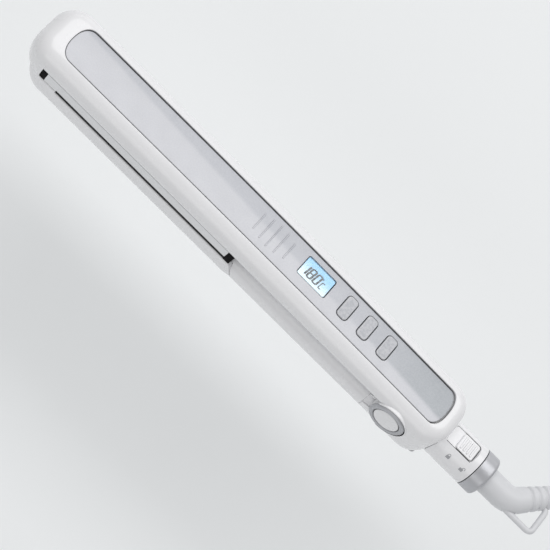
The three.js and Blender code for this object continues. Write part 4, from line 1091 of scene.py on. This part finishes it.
def lower_body():
    nose_x = LOWER_PLATE.x0 - 0.3
    inner = LOWER_HALF_W - HANDLE_HALF_W + WALL
    rear_r = inner + 7
    rear_x = LOWER_BODY_X1 + rear_r + 1  # the form runs on this far, and is then cut square
    xs = spread(rear_x - rear_r - 0.3, STEP_X1, 20)[:-1] + spread(STEP_X1, STEP_X0, 22)[:-1]
    xs += spread(STEP_X0, nose_x, 26)
    xs += [nose_x - 0.02] + spread(nose_x - 2, LOWER.x0 + TIP_PLAN_R + 0.3, 3)
    bar = Bar(LOWER.x0, rear_x, LOWER_HALF_W, TIP_PLAN_R, rear_r, xs)
    narrow = [0.0] * len(bar.points)
    radius = []
    rims = []
    for k, (x, _, nx, _) in enumerate(bar.points):
        radius.append(SIDE_R + (TIP_SIDE_R - SIDE_R) * smooth_step(-nx))
        if k < bar.first_tip:
            narrow[k] = (LOWER_HALF_W - HANDLE_HALF_W) * step_share(x)
        rims.append(lower_rim(x) if nx > -0.01 else NOSE_RIM_Z)

    def outside(k, z):
        """How far the side has turned in at a height."""
        r = radius[k]
        if z >= r:
            return narrow[k]
        return narrow[k] + r - sqrt(max(0.0, r * r - (r - z) ** 2))

    x0 = LOWER_CAVITY_X0
    cove = 6
    rings = [bar.ring(inner + cove, LOWER_FLOOR_Z, x0)]
    for inward, up in fillet(cove, 5)[::-1]:
        rings.append(bar.ring(inner + inward, [min(LOWER_FLOOR_Z + up, rim - 1.2) for rim in rims], x0))
    rings.append(bar.ring(inner, [rim - 0.2 for rim in rims], x0))
    rings.append(bar.ring(inner - 0.2, rims, x0))
    for share in (1.0, 0.3):
        insets = [outside(k, rim - LIP) + LIP * share for k, rim in enumerate(rims)]
        rings.append(bar.ring(insets, [rim - LIP * (1 - share) for rim in rims]))
    starts = [min(rim - LIP, r) for rim, r in zip(rims, radius)]
    for share in (0, 0.5, 1):
        heights = [rim - LIP + (start - rim + LIP) * share for rim, start in zip(rims, starts)]
        rings.append(bar.ring([outside(k, z) for k, z in enumerate(heights)], heights))
    for share in spread(0, 1, 10)[1:]:
        heights = []
        insets = []
        for r, start, side in zip(radius, starts, narrow):
            first = asin(min(1.0, max(0.0, 1 - start / r)))
            angle = first + (QUARTER - first) * share
            heights.append(r * (1 - sin(angle)))
            insets.append(side + r * (1 - cos(angle)))
        rings.append(bar.ring(insets, heights))
    body = skin("lower_shell", rings)
    return cut(body, across(LOWER_BODY_X1, rear_x + 1))


def lower_nose_block():
    """The heat-proof block in the lower nose, with a thin lip back over the carrier to the plate."""
    box = Extent("lower_front_block")
    edge = 0.2
    side = 2 * (LOWER_HALF_W - NOSE_BLOCK_SIDE)
    levels = [(0, box.z0), (0, box.z1 - edge)]
    post = plug("nose_block_lower", box.cx, 0, box.x1 - box.x0, 2 * box.y1, 0.5, levels, follow=False)
    lip_x1 = LOWER_PLATE.x0 - 0.35
    levels = [(0, NOSE_LIP_Z), (0, box.z1 - edge), (-0.06, box.z1 - 0.06), (-edge, box.z1)]
    lip = plug("tool", (box.x0 + lip_x1) / 2, 0, lip_x1 - box.x0, side, 1.2, levels, follow=False)
    join(post, lip)
    stands_for(shade(post, 32, True), "lower_front_block", "block")


def lower_section(half, low, high, r):
    """The lower arm's cross-section (y, z), round at the bottom."""
    left = arc(r - half, low + r, r, 2 * QUARTER, 3 * QUARTER, 14)
    right = arc(half - r, low + r, r, 3 * QUARTER, 4 * QUARTER, 14)
    return [(half, high), (-half, high)] + left + right


def knuckle():
    """The cheeks and heel that turn about the pin, and the ears on their outside."""
    low = -1
    profile = [(KNUCKLE_X0, PIN_Z - 2), (KNUCKLE_X0, low), (0, low)]
    profile += arc(0, PIN_Z, HEEL_R, -QUARTER + 0.15, -0.25, 24)
    profile += arc(0, PIN_Z, CHEEK_R, 0.3, 2 * QUARTER, 24)
    reach = PIN_Z - HUB_EDGE_Z + 0.3
    edge_z = PIN_Z - reach / cos(OPEN_ANGLE)
    edge_end = (edge_z - low) / tan(OPEN_ANGLE)
    skirt = [(KNUCKLE_X0, low), (edge_end, low), (0, edge_z), (-5, PIN_Z - 5), (KNUCKLE_X0, PIN_Z - 6.5)]
    wide = UPPER.y1
    heel = join(hinge_cylinder(-wide, wide, HEEL_R), block(-16, 0, -wide, wide, low, PIN_Z))
    under = cross(prism("tool", skirt, "y", -wide, wide), heel)
    handle_end = prism("tool", crown_section(COVER_HALF_W, COVER_LOW_Z, COVER.z1), "x", COVER.x1 + 0.06, -6)
    body = prism("tool", profile, "y", -EAR_Y0, EAR_Y0)
    join(body, under, handle_end)
    cross(body, prism("tool", lower_section(HANDLE_HALF_W, 0, 40, SIDE_R), "x", -20, HEEL_R + 1))
    cut(body, hinge_cylinder(FAR_EAR_Y + 0.02, wide + 1, EAR_R + 0.1))
    near_ear = hinge_cylinder(-NEAR_EAR_Y, 0.01 - EAR_Y0, EAR_R)
    far_ear = hinge_cylinder(EAR_Y0 - 0.01, FAR_EAR_Y, EAR_R)
    join(body, near_ear, far_ear)
    pocket = join(
        hinge_cylinder(-CHEEK_Y0, CHEEK_Y0, HEEL_R - HEEL_SKIN),
        block(-30, 0, -CHEEK_Y0, CHEEK_Y0, HEEL_SKIN, 40),
    )
    return cut(body, pocket)


def lower_shell():
    shell = join(lower_body(), knuckle())
    bores = [hinge_cylinder(-EAR_Y0, EAR_Y0, BUSH_R + 0.05), hinge_cylinder(-20, 20, PIN_R + 0.15)]
    cut(shell, *bores)
    stands_for(shade(shell, 32, True), "lower_housing", "shell")


def crown_section(half, low, high):
    """The handle's crowned inner surface (y, z), as full as a soft square."""
    power = 2.7
    outline = []
    for a in spread(0, pi, 40):
        c, s = cos(a), sin(a)
        y = half * copysign(abs(c) ** (2 / power), c)
        outline.append((y, low + (high - low) * s ** (2 / power)))
    return outline


def handle_cover():
    """The handle's crowned inner cover, whose front edge follows the lower shell's S-curve."""
    thickness = 1.8
    cover = prism("handle_cover", crown_section(COVER_HALF_W, COVER_LOW_Z, COVER.z1), "x", COVER.x0, COVER.x1)
    inside = crown_section(HANDLE_HALF_W - thickness, COVER_LOW_Z - 1, COVER.z1 - thickness)
    front = [(x, lower_rim(x) + COVER_GAP) for x in spread(STEP_X0, STEP_X1, 24)]
    front = [(STEP_X0 - 8, 0), (STEP_X0 - 8, front[0][1])] + front + [(STEP_X1, 0)]
    wall_y = HANDLE_HALF_W - WALL - 0.3
    walls = [prism("tool", front, "y", side * wall_y, side * 20) for side in (1, -1)]
    cut(cover, prism("tool", inside, "x", COVER.x0 - 1, COVER.x1 + 1), *walls)
    stands_for(shade(cover, 40, True), "lower_inner_cover", "shell")


# ---------------- hinge and hub


def hinge_ring(place, side):
    box = RINGS[place]
    base, face = sorted((abs(box.y0), abs(box.y1)))
    inner = CAPS[place].x1 + 0.35
    profile = softened([
        (base, inner, 0),
        (base, EAR_R, 0.1),
        (face - 0.75, EAR_R, 0.25),
        (face - 0.1, EAR_R - 0.6, 0.2),
        (face, EAR_R - 1.2, 0.3),
        (face - 0.05, inner + 0.3, 0.12),
        (face - 0.5, inner, 0.1),
    ])
    profile = [(side * along, radius) for along, radius in profile]
    ring = round_pin("hinge_trim_" + place, profile + profile[:1])
    stands_for(shade(ring), "hinge_ring_" + place, "trim")


def hinge_cap(place, side):
    box = CAPS[place]
    radius = box.x1
    base, face = sorted((abs(box.y0), abs(box.y1)))
    edge = 0.45
    dome_h = 0.3
    dome_edge = face - dome_h
    profile = [(base, 0), (base, radius)]
    profile += [(dome_edge - down, radius - inward) for inward, down in fillet(edge, 5)]
    for share in (0.8, 0.6, 0.4, 0.2, 0):
        profile.append((dome_edge + dome_h * (1 - share * share), (radius - edge) * share))
    profile = [(side * along, r) for along, r in profile]
    cap = round_pin("hinge_disc_" + place, profile)
    stands_for(shade(cap), "hinge_cap_" + place, "shell")


def hub_cover():
    """The cover under the hub, rounded at its rear and hollowed for the turning heel."""
    front = -16  # the form runs on this far, and is then cut square
    xs = spread(HUB_COVER.x1 - REAR_PLAN_R - 1, front + SIDE_R + 2, 8)
    bar = Bar(front, HUB_COVER.x1, HUB_COVER.y1, SIDE_R + 1, REAR_PLAN_R, xs)
    radius = [SIDE_R + (HUB_BOTTOM_R - SIDE_R) * smooth_step(nx) for _, _, nx, _ in bar.points]
    low, high = HUB_COVER.z0, HUB_COVER.z1 - 0.15

    def ring(share):
        heights = []
        insets = []
        for r in radius:
            last = acos(min(1.0, max(-1.0, 1 - (high - low) / r))) if high - low < r else QUARTER
            angle = last * share
            insets.append(r * (1 - sin(angle)))
            heights.append(low + r * (1 - cos(angle)))
        return bar.ring(insets, [min(z, high) for z in heights])

    rings = [ring(share) for share in spread(0, 1, 8)]
    rings.append(bar.ring(2.2, high))
    cover = skin("hub_base", rings)
    inner = Bar(-12, HUB_COVER.x1 - WALL - 0.4, HUB_COVER.y1 - WALL, 4, REAR_PLAN_R - WALL, [8, 2])
    hollow = skin("tool", [inner.ring(3, 2.2), inner.ring(0.6, 5.5)])
    cut(cover, across(front - 1, 0), hollow, hinge_cylinder(-20, 20, HEEL_R + 0.4), *neck_seats())
    screws = []
    for place in ("left", "right"):
        box = Extent("hub_screw_" + place)
        screws.append(turned("tool", rod(-1, box.z0 + 1.6, 2.5), "z", (box.cx, box.cy, 0), 32))
    cut(cover, *screws)
    stands_for(shade(cover, 35, True), "hub_bottom_cover", "shell")


def screw(node, up):
    """A countersunk screw with a cross recess. up is 1 if its tip points up and -1 if it points down."""
    box = Extent(node)
    name = node.replace("screw", "fastener")
    head = box.x1 - box.cx
    face, end = (box.z0, box.z1) if up > 0 else (box.z1, box.z0)
    span = abs(end - face)
    points = [(0, 0), (0, head - 0.15), (0.15, head), (0.35, head), (1.4, 1.2)]
    turns = 6
    for i in range(turns):
        at = 1.6 + (span - 1.9) * i / turns
        points += [(at, 1.0), (at + 0.25, 1.2), (at + 0.5, 1.0)]
    points += [(span, 0.5), (span, 0)]
    profile = [(face + up * along, radius) for along, radius in points]
    piece = turned(name, profile, "z", (box.cx, box.cy, 0), 32)
    depth = sorted((face - up, face + up * 0.9))
    arms = [
        block(box.cx - 1.25, box.cx + 1.25, box.cy - 0.27, box.cy + 0.27, *depth),
        block(box.cx - 0.27, box.cx + 0.27, box.cy - 1.25, box.cy + 1.25, *depth),
    ]
    cut(piece, *arms)
    stands_for(shade(piece, 30), node, "steel")


# ---------------- cord end


def neck():
    """The neck under the cord: a tube whose front follows the hub, with a track for the lock's slider."""
    skin_x0 = UPPER.x1 - 6
    outside = [
        (skin_x0, 0, 0),
        (skin_x0, NECK_R, 0),
        (NECK.x1, NECK_R, 0.3),
        (NECK.x1, NECK_BORE_R, 0.2),
        (NECK.x1 - 18, NECK_BORE_R, 0),
        (NECK.x1 - 18, 0, 0),
    ]
    body = round_neck("neck_shell", softened(outside), 120)
    cut(body, hub_form(0.12))
    flange_x1, spigot_x1 = NECK.x0 + 2.2, UPPER.x1 + 0.5
    spigot = [(NECK.x0, NECK_BORE_R), (NECK.x0, FLANGE_R), (flange_x1, FLANGE_R), (flange_x1, SPIGOT_R)]
    spigot += [(spigot_x1, SPIGOT_R), (spigot_x1, NECK_BORE_R), (NECK.x0, NECK_BORE_R)]
    join(body, round_neck("tool", spigot))
    cut(body, neck_cylinder(NECK.x0 - 1, NECK.x1 + 1, NECK_BORE_R))
    middle = (RECESS["x0"] + RECESS["x1"]) / 2
    levels = [(0, RECESS["floor"]), (0, 20.2), (0.25, 20.7), (0.6, 21.3), (0.6, 26)]
    width = RECESS["x1"] - RECESS["x0"]
    track = plug("tool", middle, 0, width, 2 * RECESS["half"], RECESS["r"], levels, follow=False)
    slot = block(SLIDER.x0 + 0.1, SLIDER.x0 + 9.3, -1.8, 1.8, NECK_Z, RECESS["floor"] + 1)
    half, floor = RECESS["half"], RECESS["floor"]
    groove = block(RECESS["x0"] + 0.4, RECESS["x1"] - 0.4, -half, 0.55 - half, floor - 1.4, floor + 1)
    cut(body, track, slot, groove)
    stands_for(shade(body, 34, True), "cord_neck", "shell")


def slider():
    """The lock's slider: a rounded pad with soft cross ribs and a foot that reaches its bolt."""
    floor = RECESS["floor"] + 0.1
    w, h = SLIDER.x1 - SLIDER.x0, SLIDER.y1 - SLIDER.y0
    pad = plug("lock_pad", SLIDER.cx, 0, w, h, 1.2, rounded_levels(floor, floor + 1.1, 0.35), follow=False)
    ribs = []
    for i in range(4):
        x = SLIDER.x0 + 1.8 + i * 2.0
        outline = Bar(x - 0.5, x + 0.5, h / 2 - 1, 0.45, 0.45, (x,), corner=5, end=4)
        levels = ((0, 0.9), (0, 1.4), (0.12, 1.62), (0.35, 1.7))
        rings = [outline.ring(inset, floor + z) for inset, z in levels]
        ribs.append(skin("tool", rings))
    foot = block(SLIDER.x0 + 5, SLIDER.x0 + 9, -1.5, 1.5, SLIDER.z0, floor + 0.2)
    join(pad, foot, *ribs)
    stands_for(shade(pad, 32, True), "lock_slider", "shell")


ICON_ANGLE = radians(53)


def on_neck(x, along, lift):
    """A point on the neck's near side: along is the distance round it, upwards, from the icons' middle."""
    angle = ICON_ANGLE - along / NECK_R
    radius = NECK_R + lift
    return (x, -radius * sin(angle), NECK_Z + radius * cos(angle))


def lock_icon(name, x, open_shackle):
    """A generic padlock, raised a hair off the neck, closed or with its shackle swung up."""
    bm = bmesh.new()

    def slab(outline):
        add_form(bm, [[on_neck(x + u, v, lift) for u, v in outline] for lift in (0.01, INK_HEIGHT)])

    slab(softened([(-1.0, -1.6, 0.25), (1.0, -1.6, 0.25), (1.0, 0.05, 0.25), (-1.0, 0.05, 0.25)], 4))
    shift = 0.9 if open_shackle else 0.0
    base, foot = 0.4, -0.1
    wide, narrow = 0.78, 0.48
    outer = [(shift + wide, foot)] + arc(shift, base, wide, 0, pi, 12) + [(shift - wide, foot)]
    inner = [(shift - narrow, foot)] + arc(shift, base, narrow, pi, 0, 12) + [(shift + narrow, foot)]
    slab(outer + inner)
    icon = finish_mesh(name, bm, merge=1e-5)
    dress(icon, "icon")
    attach(icon, BODY_OF["cord_neck"])


def collar():
    profile = softened([
        (COLLAR.x0 + 0.15, BOOT_R + 0.35, 0),
        (COLLAR.x0 + 0.15, COLLAR.y1, 0.25),
        (COLLAR.x1, COLLAR.y1, 1.6),
        (COLLAR.x1, BOOT_R + 0.35, 0.2),
    ], 8)
    ring = round_neck("collar_trim", profile + profile[:1], 120)
    stands_for(shade(ring), "collar_ring", "collar")


def bent(x, y):
    """Carries a point beside the neck's axis round the boot's bend."""
    beyond = x - BEND_X
    if beyond <= 0:
        return x, y
    angle = min(beyond / BEND_R, BEND_ANGLE)
    straight = max(0.0, beyond - BEND_R * BEND_ANGLE)
    radius = BEND_R - y
    px = BEND_X + radius * sin(angle) + straight * cos(angle)
    py = BEND_R - radius * cos(angle) + straight * sin(angle)
    return px, py


def bend_along_cord(piece):
    for vertex in piece.data.vertices:
        x, y = bent(vertex.co.x / MM, vertex.co.y / MM)
        vertex.co.x, vertex.co.y = x * MM, y * MM
    piece.data.update()
    return piece


def boot_radius(s):
    taper_from = BEND_X - BOOT.x0
    share = max(0.0, (s - taper_from) / (BOOT_LENGTH - taper_from))
    return BOOT_R - 1.9 * share


def groove_depth(s):
    """Round grooves near the boot's end, each with soft sides."""
    first, pitch, width, depth = 31.8, 4, 1.7, 0.85
    if s < first - width or s > BOOT_LENGTH - 2.2:
        return 0.0
    offset = (s - first + pitch / 2) % pitch - pitch / 2
    return depth * smooth_step(1 - abs(offset) / (width / 2 + 0.35))


def loop_path():
    places = ((4.4, -4.3), (22.4, -4.3), (22.4, 9.3), (19.85, 11.54))
    corners = [Vector((BEND_X + x, y, NECK_Z)) for x, y in places]
    path = [corners[0]]
    for before, corner, after in zip(corners, corners[1:], corners[2:]):
        start, end = corner.lerp(before, LOOP_ROUND), corner.lerp(after, LOOP_ROUND)
        last = path[-1]
        path += [last.lerp(start, t) for t in spread(0, 1, 8)[1:]]
        path += [start * (1 - t) ** 2 + corner * 2 * t * (1 - t) + end * t * t for t in spread(0, 1, 10)[1:]]
    last = path[-1]
    return path + [last.lerp(corners[-1], t) for t in spread(0, 1, 3)[1:]]


def boot():
    bore = 3.55
    profile = [(BOOT.x0, bore)]
    steps = int(BOOT_LENGTH / 0.4)
    for s in spread(0, BOOT_LENGTH - 0.6, steps):
        profile.append((BOOT.x0 + s, boot_radius(s) - groove_depth(s)))
    end = BOOT.x0 + BOOT_LENGTH
    last = boot_radius(BOOT_LENGTH)
    profile += [(end - 0.2, last - 0.25), (end, last - 0.7)]
    profile += [(BOOT.x0 + s, bore) for s in spread(BOOT_LENGTH, 0, 40)]
    piece = bend_along_cord(round_neck("boot_sleeve", profile, 48))
    cut(piece, tube("tool", loop_path(), LOOP_R + LOOP_PLAY))
    stands_for(shade(piece, 50), "strain_relief", "boot")


def cord():
    start = BOOT.x0 + 4
    length = 76
    profile = [(start, 0), (start, CORD_R)]
    profile += [(start + s, CORD_R) for s in spread(0, length - 0.5, 60)[1:]]
    profile += [(start + length - 0.15, CORD_R - 0.15), (start + length, CORD_R - 0.5), (start + length, 0)]
    piece = bend_along_cord(round_neck("cord_sheath", profile, 32))
    stands_for(shade(piece, 50), "cord", "cord")


def hanging_ring():
    piece = tube("hanging_hook", loop_path(), LOOP_R)
    stands_for(shade(piece, 50), "hanging_loop", "boot")


# ---------------- carried-over CAD nodes

CARRIED = {
    "inner_shell": ["upper_inner_cover", "upper_plate_carrier", "lower_plate_carrier"],
    "block": ["upper_front_block", "upper_rear_block", "lower_rear_block"],
    "plate": ["upper_plate", "lower_plate"],
    "heater": ["upper_heater", "lower_heater"],
    "steel": ["upper_heater_clip", "lower_heater_clip", "hinge_pin", "hinge_bracket", "opening_spring"],
    "silicone": ["upper_cushion_front", "upper_cushion_rear", "lower_cushion_front", "lower_cushion_rear"],
    "board": ["control_board"],
    "switch": ["power_switch", "minus_switch", "plus_switch", "lock_bolt", "swivel_hub"],
    "bush": ["thermistor", "thermal_fuse", "hinge_bush_left", "hinge_bush_right"],
    "cord": ["power_leads"],
}
EDGE_BEVEL = {
    "inner_shell": 0.25,
    "block": 0.2,
    "plate": 0.12,
    "heater": 0.3,
    "silicone": 0.5,
    "switch": 0.15,
}


def carry_over(node, material):
    """Gives a CAD node a material and softens its edges with modifiers, which leave its own mesh alone."""
    piece = frame["nodes"][node]
    piece.data.materials.clear()
    piece.data.materials.append(MATERIALS[material])
    weld = piece.modifiers.new("weld", "WELD")
    weld.merge_threshold = 1e-6
    if material in EDGE_BEVEL:
        bevel = piece.modifiers.new("soft_edges", "BEVEL")
        bevel.limit_method = "ANGLE"
        bevel.angle_limit = radians(40)
        bevel.width = EDGE_BEVEL[material] * MM
        bevel.segments = 2


# ---------------- stage, light and camera


def floor():
    """A wide pale floor, low enough for the lower arm to open above it."""
    level = -0.1
    reach = 8.0
    cuts = 24
    bm = bmesh.new()
    bmesh.ops.create_grid(bm, x_segments=cuts, y_segments=cuts, size=reach)
    mesh = bpy.data.meshes.new("floor")
    bm.to_mesh(mesh)
    bm.free()
    plane = bpy.data.objects.new("floor", mesh)
    plane.location.z = level
    bpy.context.scene.collection.objects.link(plane)
    pale = Finish("pale_floor", 0.8)
    tone = srgb(238, 240, 241)
    pale.colour(pale.mixed(pale.noise(300), scaled(tone, 0.985), scaled(tone, 1.015)))
    mesh.materials.append(pale.material)
    plane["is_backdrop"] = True


def area_light(name, place, aim, size, power):
    data = bpy.data.lights.new(name, "AREA")
    data.shape = "RECTANGLE"
    data.size, data.size_y = size
    data.energy = power
    light = bpy.data.objects.new(name, data)
    light.location = place
    light.rotation_mode = "QUATERNION"
    light.rotation_quaternion = (Vector(aim) - Vector(place)).to_track_quat("-Z", "Y")
    bpy.context.scene.collection.objects.link(light)


def lights():
    aim = (-0.1, 0.0, 0.01)
    area_light("overhead", (-0.1, 0.4, 1.1), aim, (1.6, 0.9), 9.0)
    area_light("near_fill", (-0.1, -1.1, 0.55), aim, (1.6, 0.6), 2.6)
    area_light("far_rim", (-0.2, 1.1, 0.35), aim, (1.4, 0.5), 1.6)
    world = bpy.data.worlds.new("studio")
    world.use_nodes = True
    background = world.node_tree.nodes["Background"]
    background.inputs["Color"].default_value = srgb(238, 238, 238)
    background.inputs["Strength"].default_value = 0.5
    bpy.context.scene.world = world


VIEW_ELEVATION = radians(62)
VIEW_YAW = radians(5)  # the camera stands a little towards the tip
VIEW_ROLL = radians(44.7)  # the picture turns the iron's length towards its lower right corner
VIEW_DISTANCE = 1.0
VIEW_TARGET = Vector((-0.0812, 0.0, 0.0074))
VIEW_LENS = 142.6


def camera():
    sin_e, cos_e = sin(VIEW_ELEVATION), cos(VIEW_ELEVATION)
    back = Vector((-sin(VIEW_YAW), -cos_e * cos(VIEW_YAW), sin_e * cos(VIEW_YAW)))
    length = Vector((1, 0, 0))
    along = (length - back * length.dot(back)).normalized()
    across = back.cross(along)
    right = along * cos(VIEW_ROLL) + across * sin(VIEW_ROLL)
    up = across * cos(VIEW_ROLL) - along * sin(VIEW_ROLL)
    data = bpy.data.cameras.new("camera")
    data.lens = VIEW_LENS
    data.sensor_width = 36
    data.clip_start = 0.01
    data.clip_end = 50
    eye = bpy.data.objects.new("camera", data)
    turn = Matrix((right, up, back)).transposed().to_4x4()
    eye.matrix_world = Matrix.Translation(VIEW_TARGET + back * VIEW_DISTANCE) @ turn
    bpy.context.scene.collection.objects.link(eye)
    bpy.context.scene.camera = eye


# ---------------- the scene

upper_shell()
panel_face()
for button_name, button_x, button_y in button_centres():
    key_cap(button_name, button_x, button_y)
display_lens()
display_module()
figures()
lower_shell()
lower_nose_block()
handle_cover()
for place_name, place_side in (("left", 1), ("right", -1)):
    hinge_ring(place_name, place_side)
    hinge_cap(place_name, place_side)
hub_cover()
for screw_node in sorted(frame["nodes"]):
    if "screw" in screw_node:
        screw(screw_node, -1 if screw_node.startswith("lower") else 1)
neck()
slider()
lock_icon("lock_icon_closed", 33.0, False)
lock_icon("lock_icon_open", 41.4, True)
collar()
boot()
cord()
hanging_ring()
for carried_material, carried_nodes in CARRIED.items():
    for carried_node in carried_nodes:
        carry_over(carried_node, carried_material)

floor()
lights()
camera()
bpy.context.scene.view_settings.view_transform = "Standard"

VISUAL_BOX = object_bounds()
boxes = {"cad": CAD_BOX, "visual": VISUAL_BOX}
{name: [list(low), list(high)] for name, (low, high) in boxes.items()}
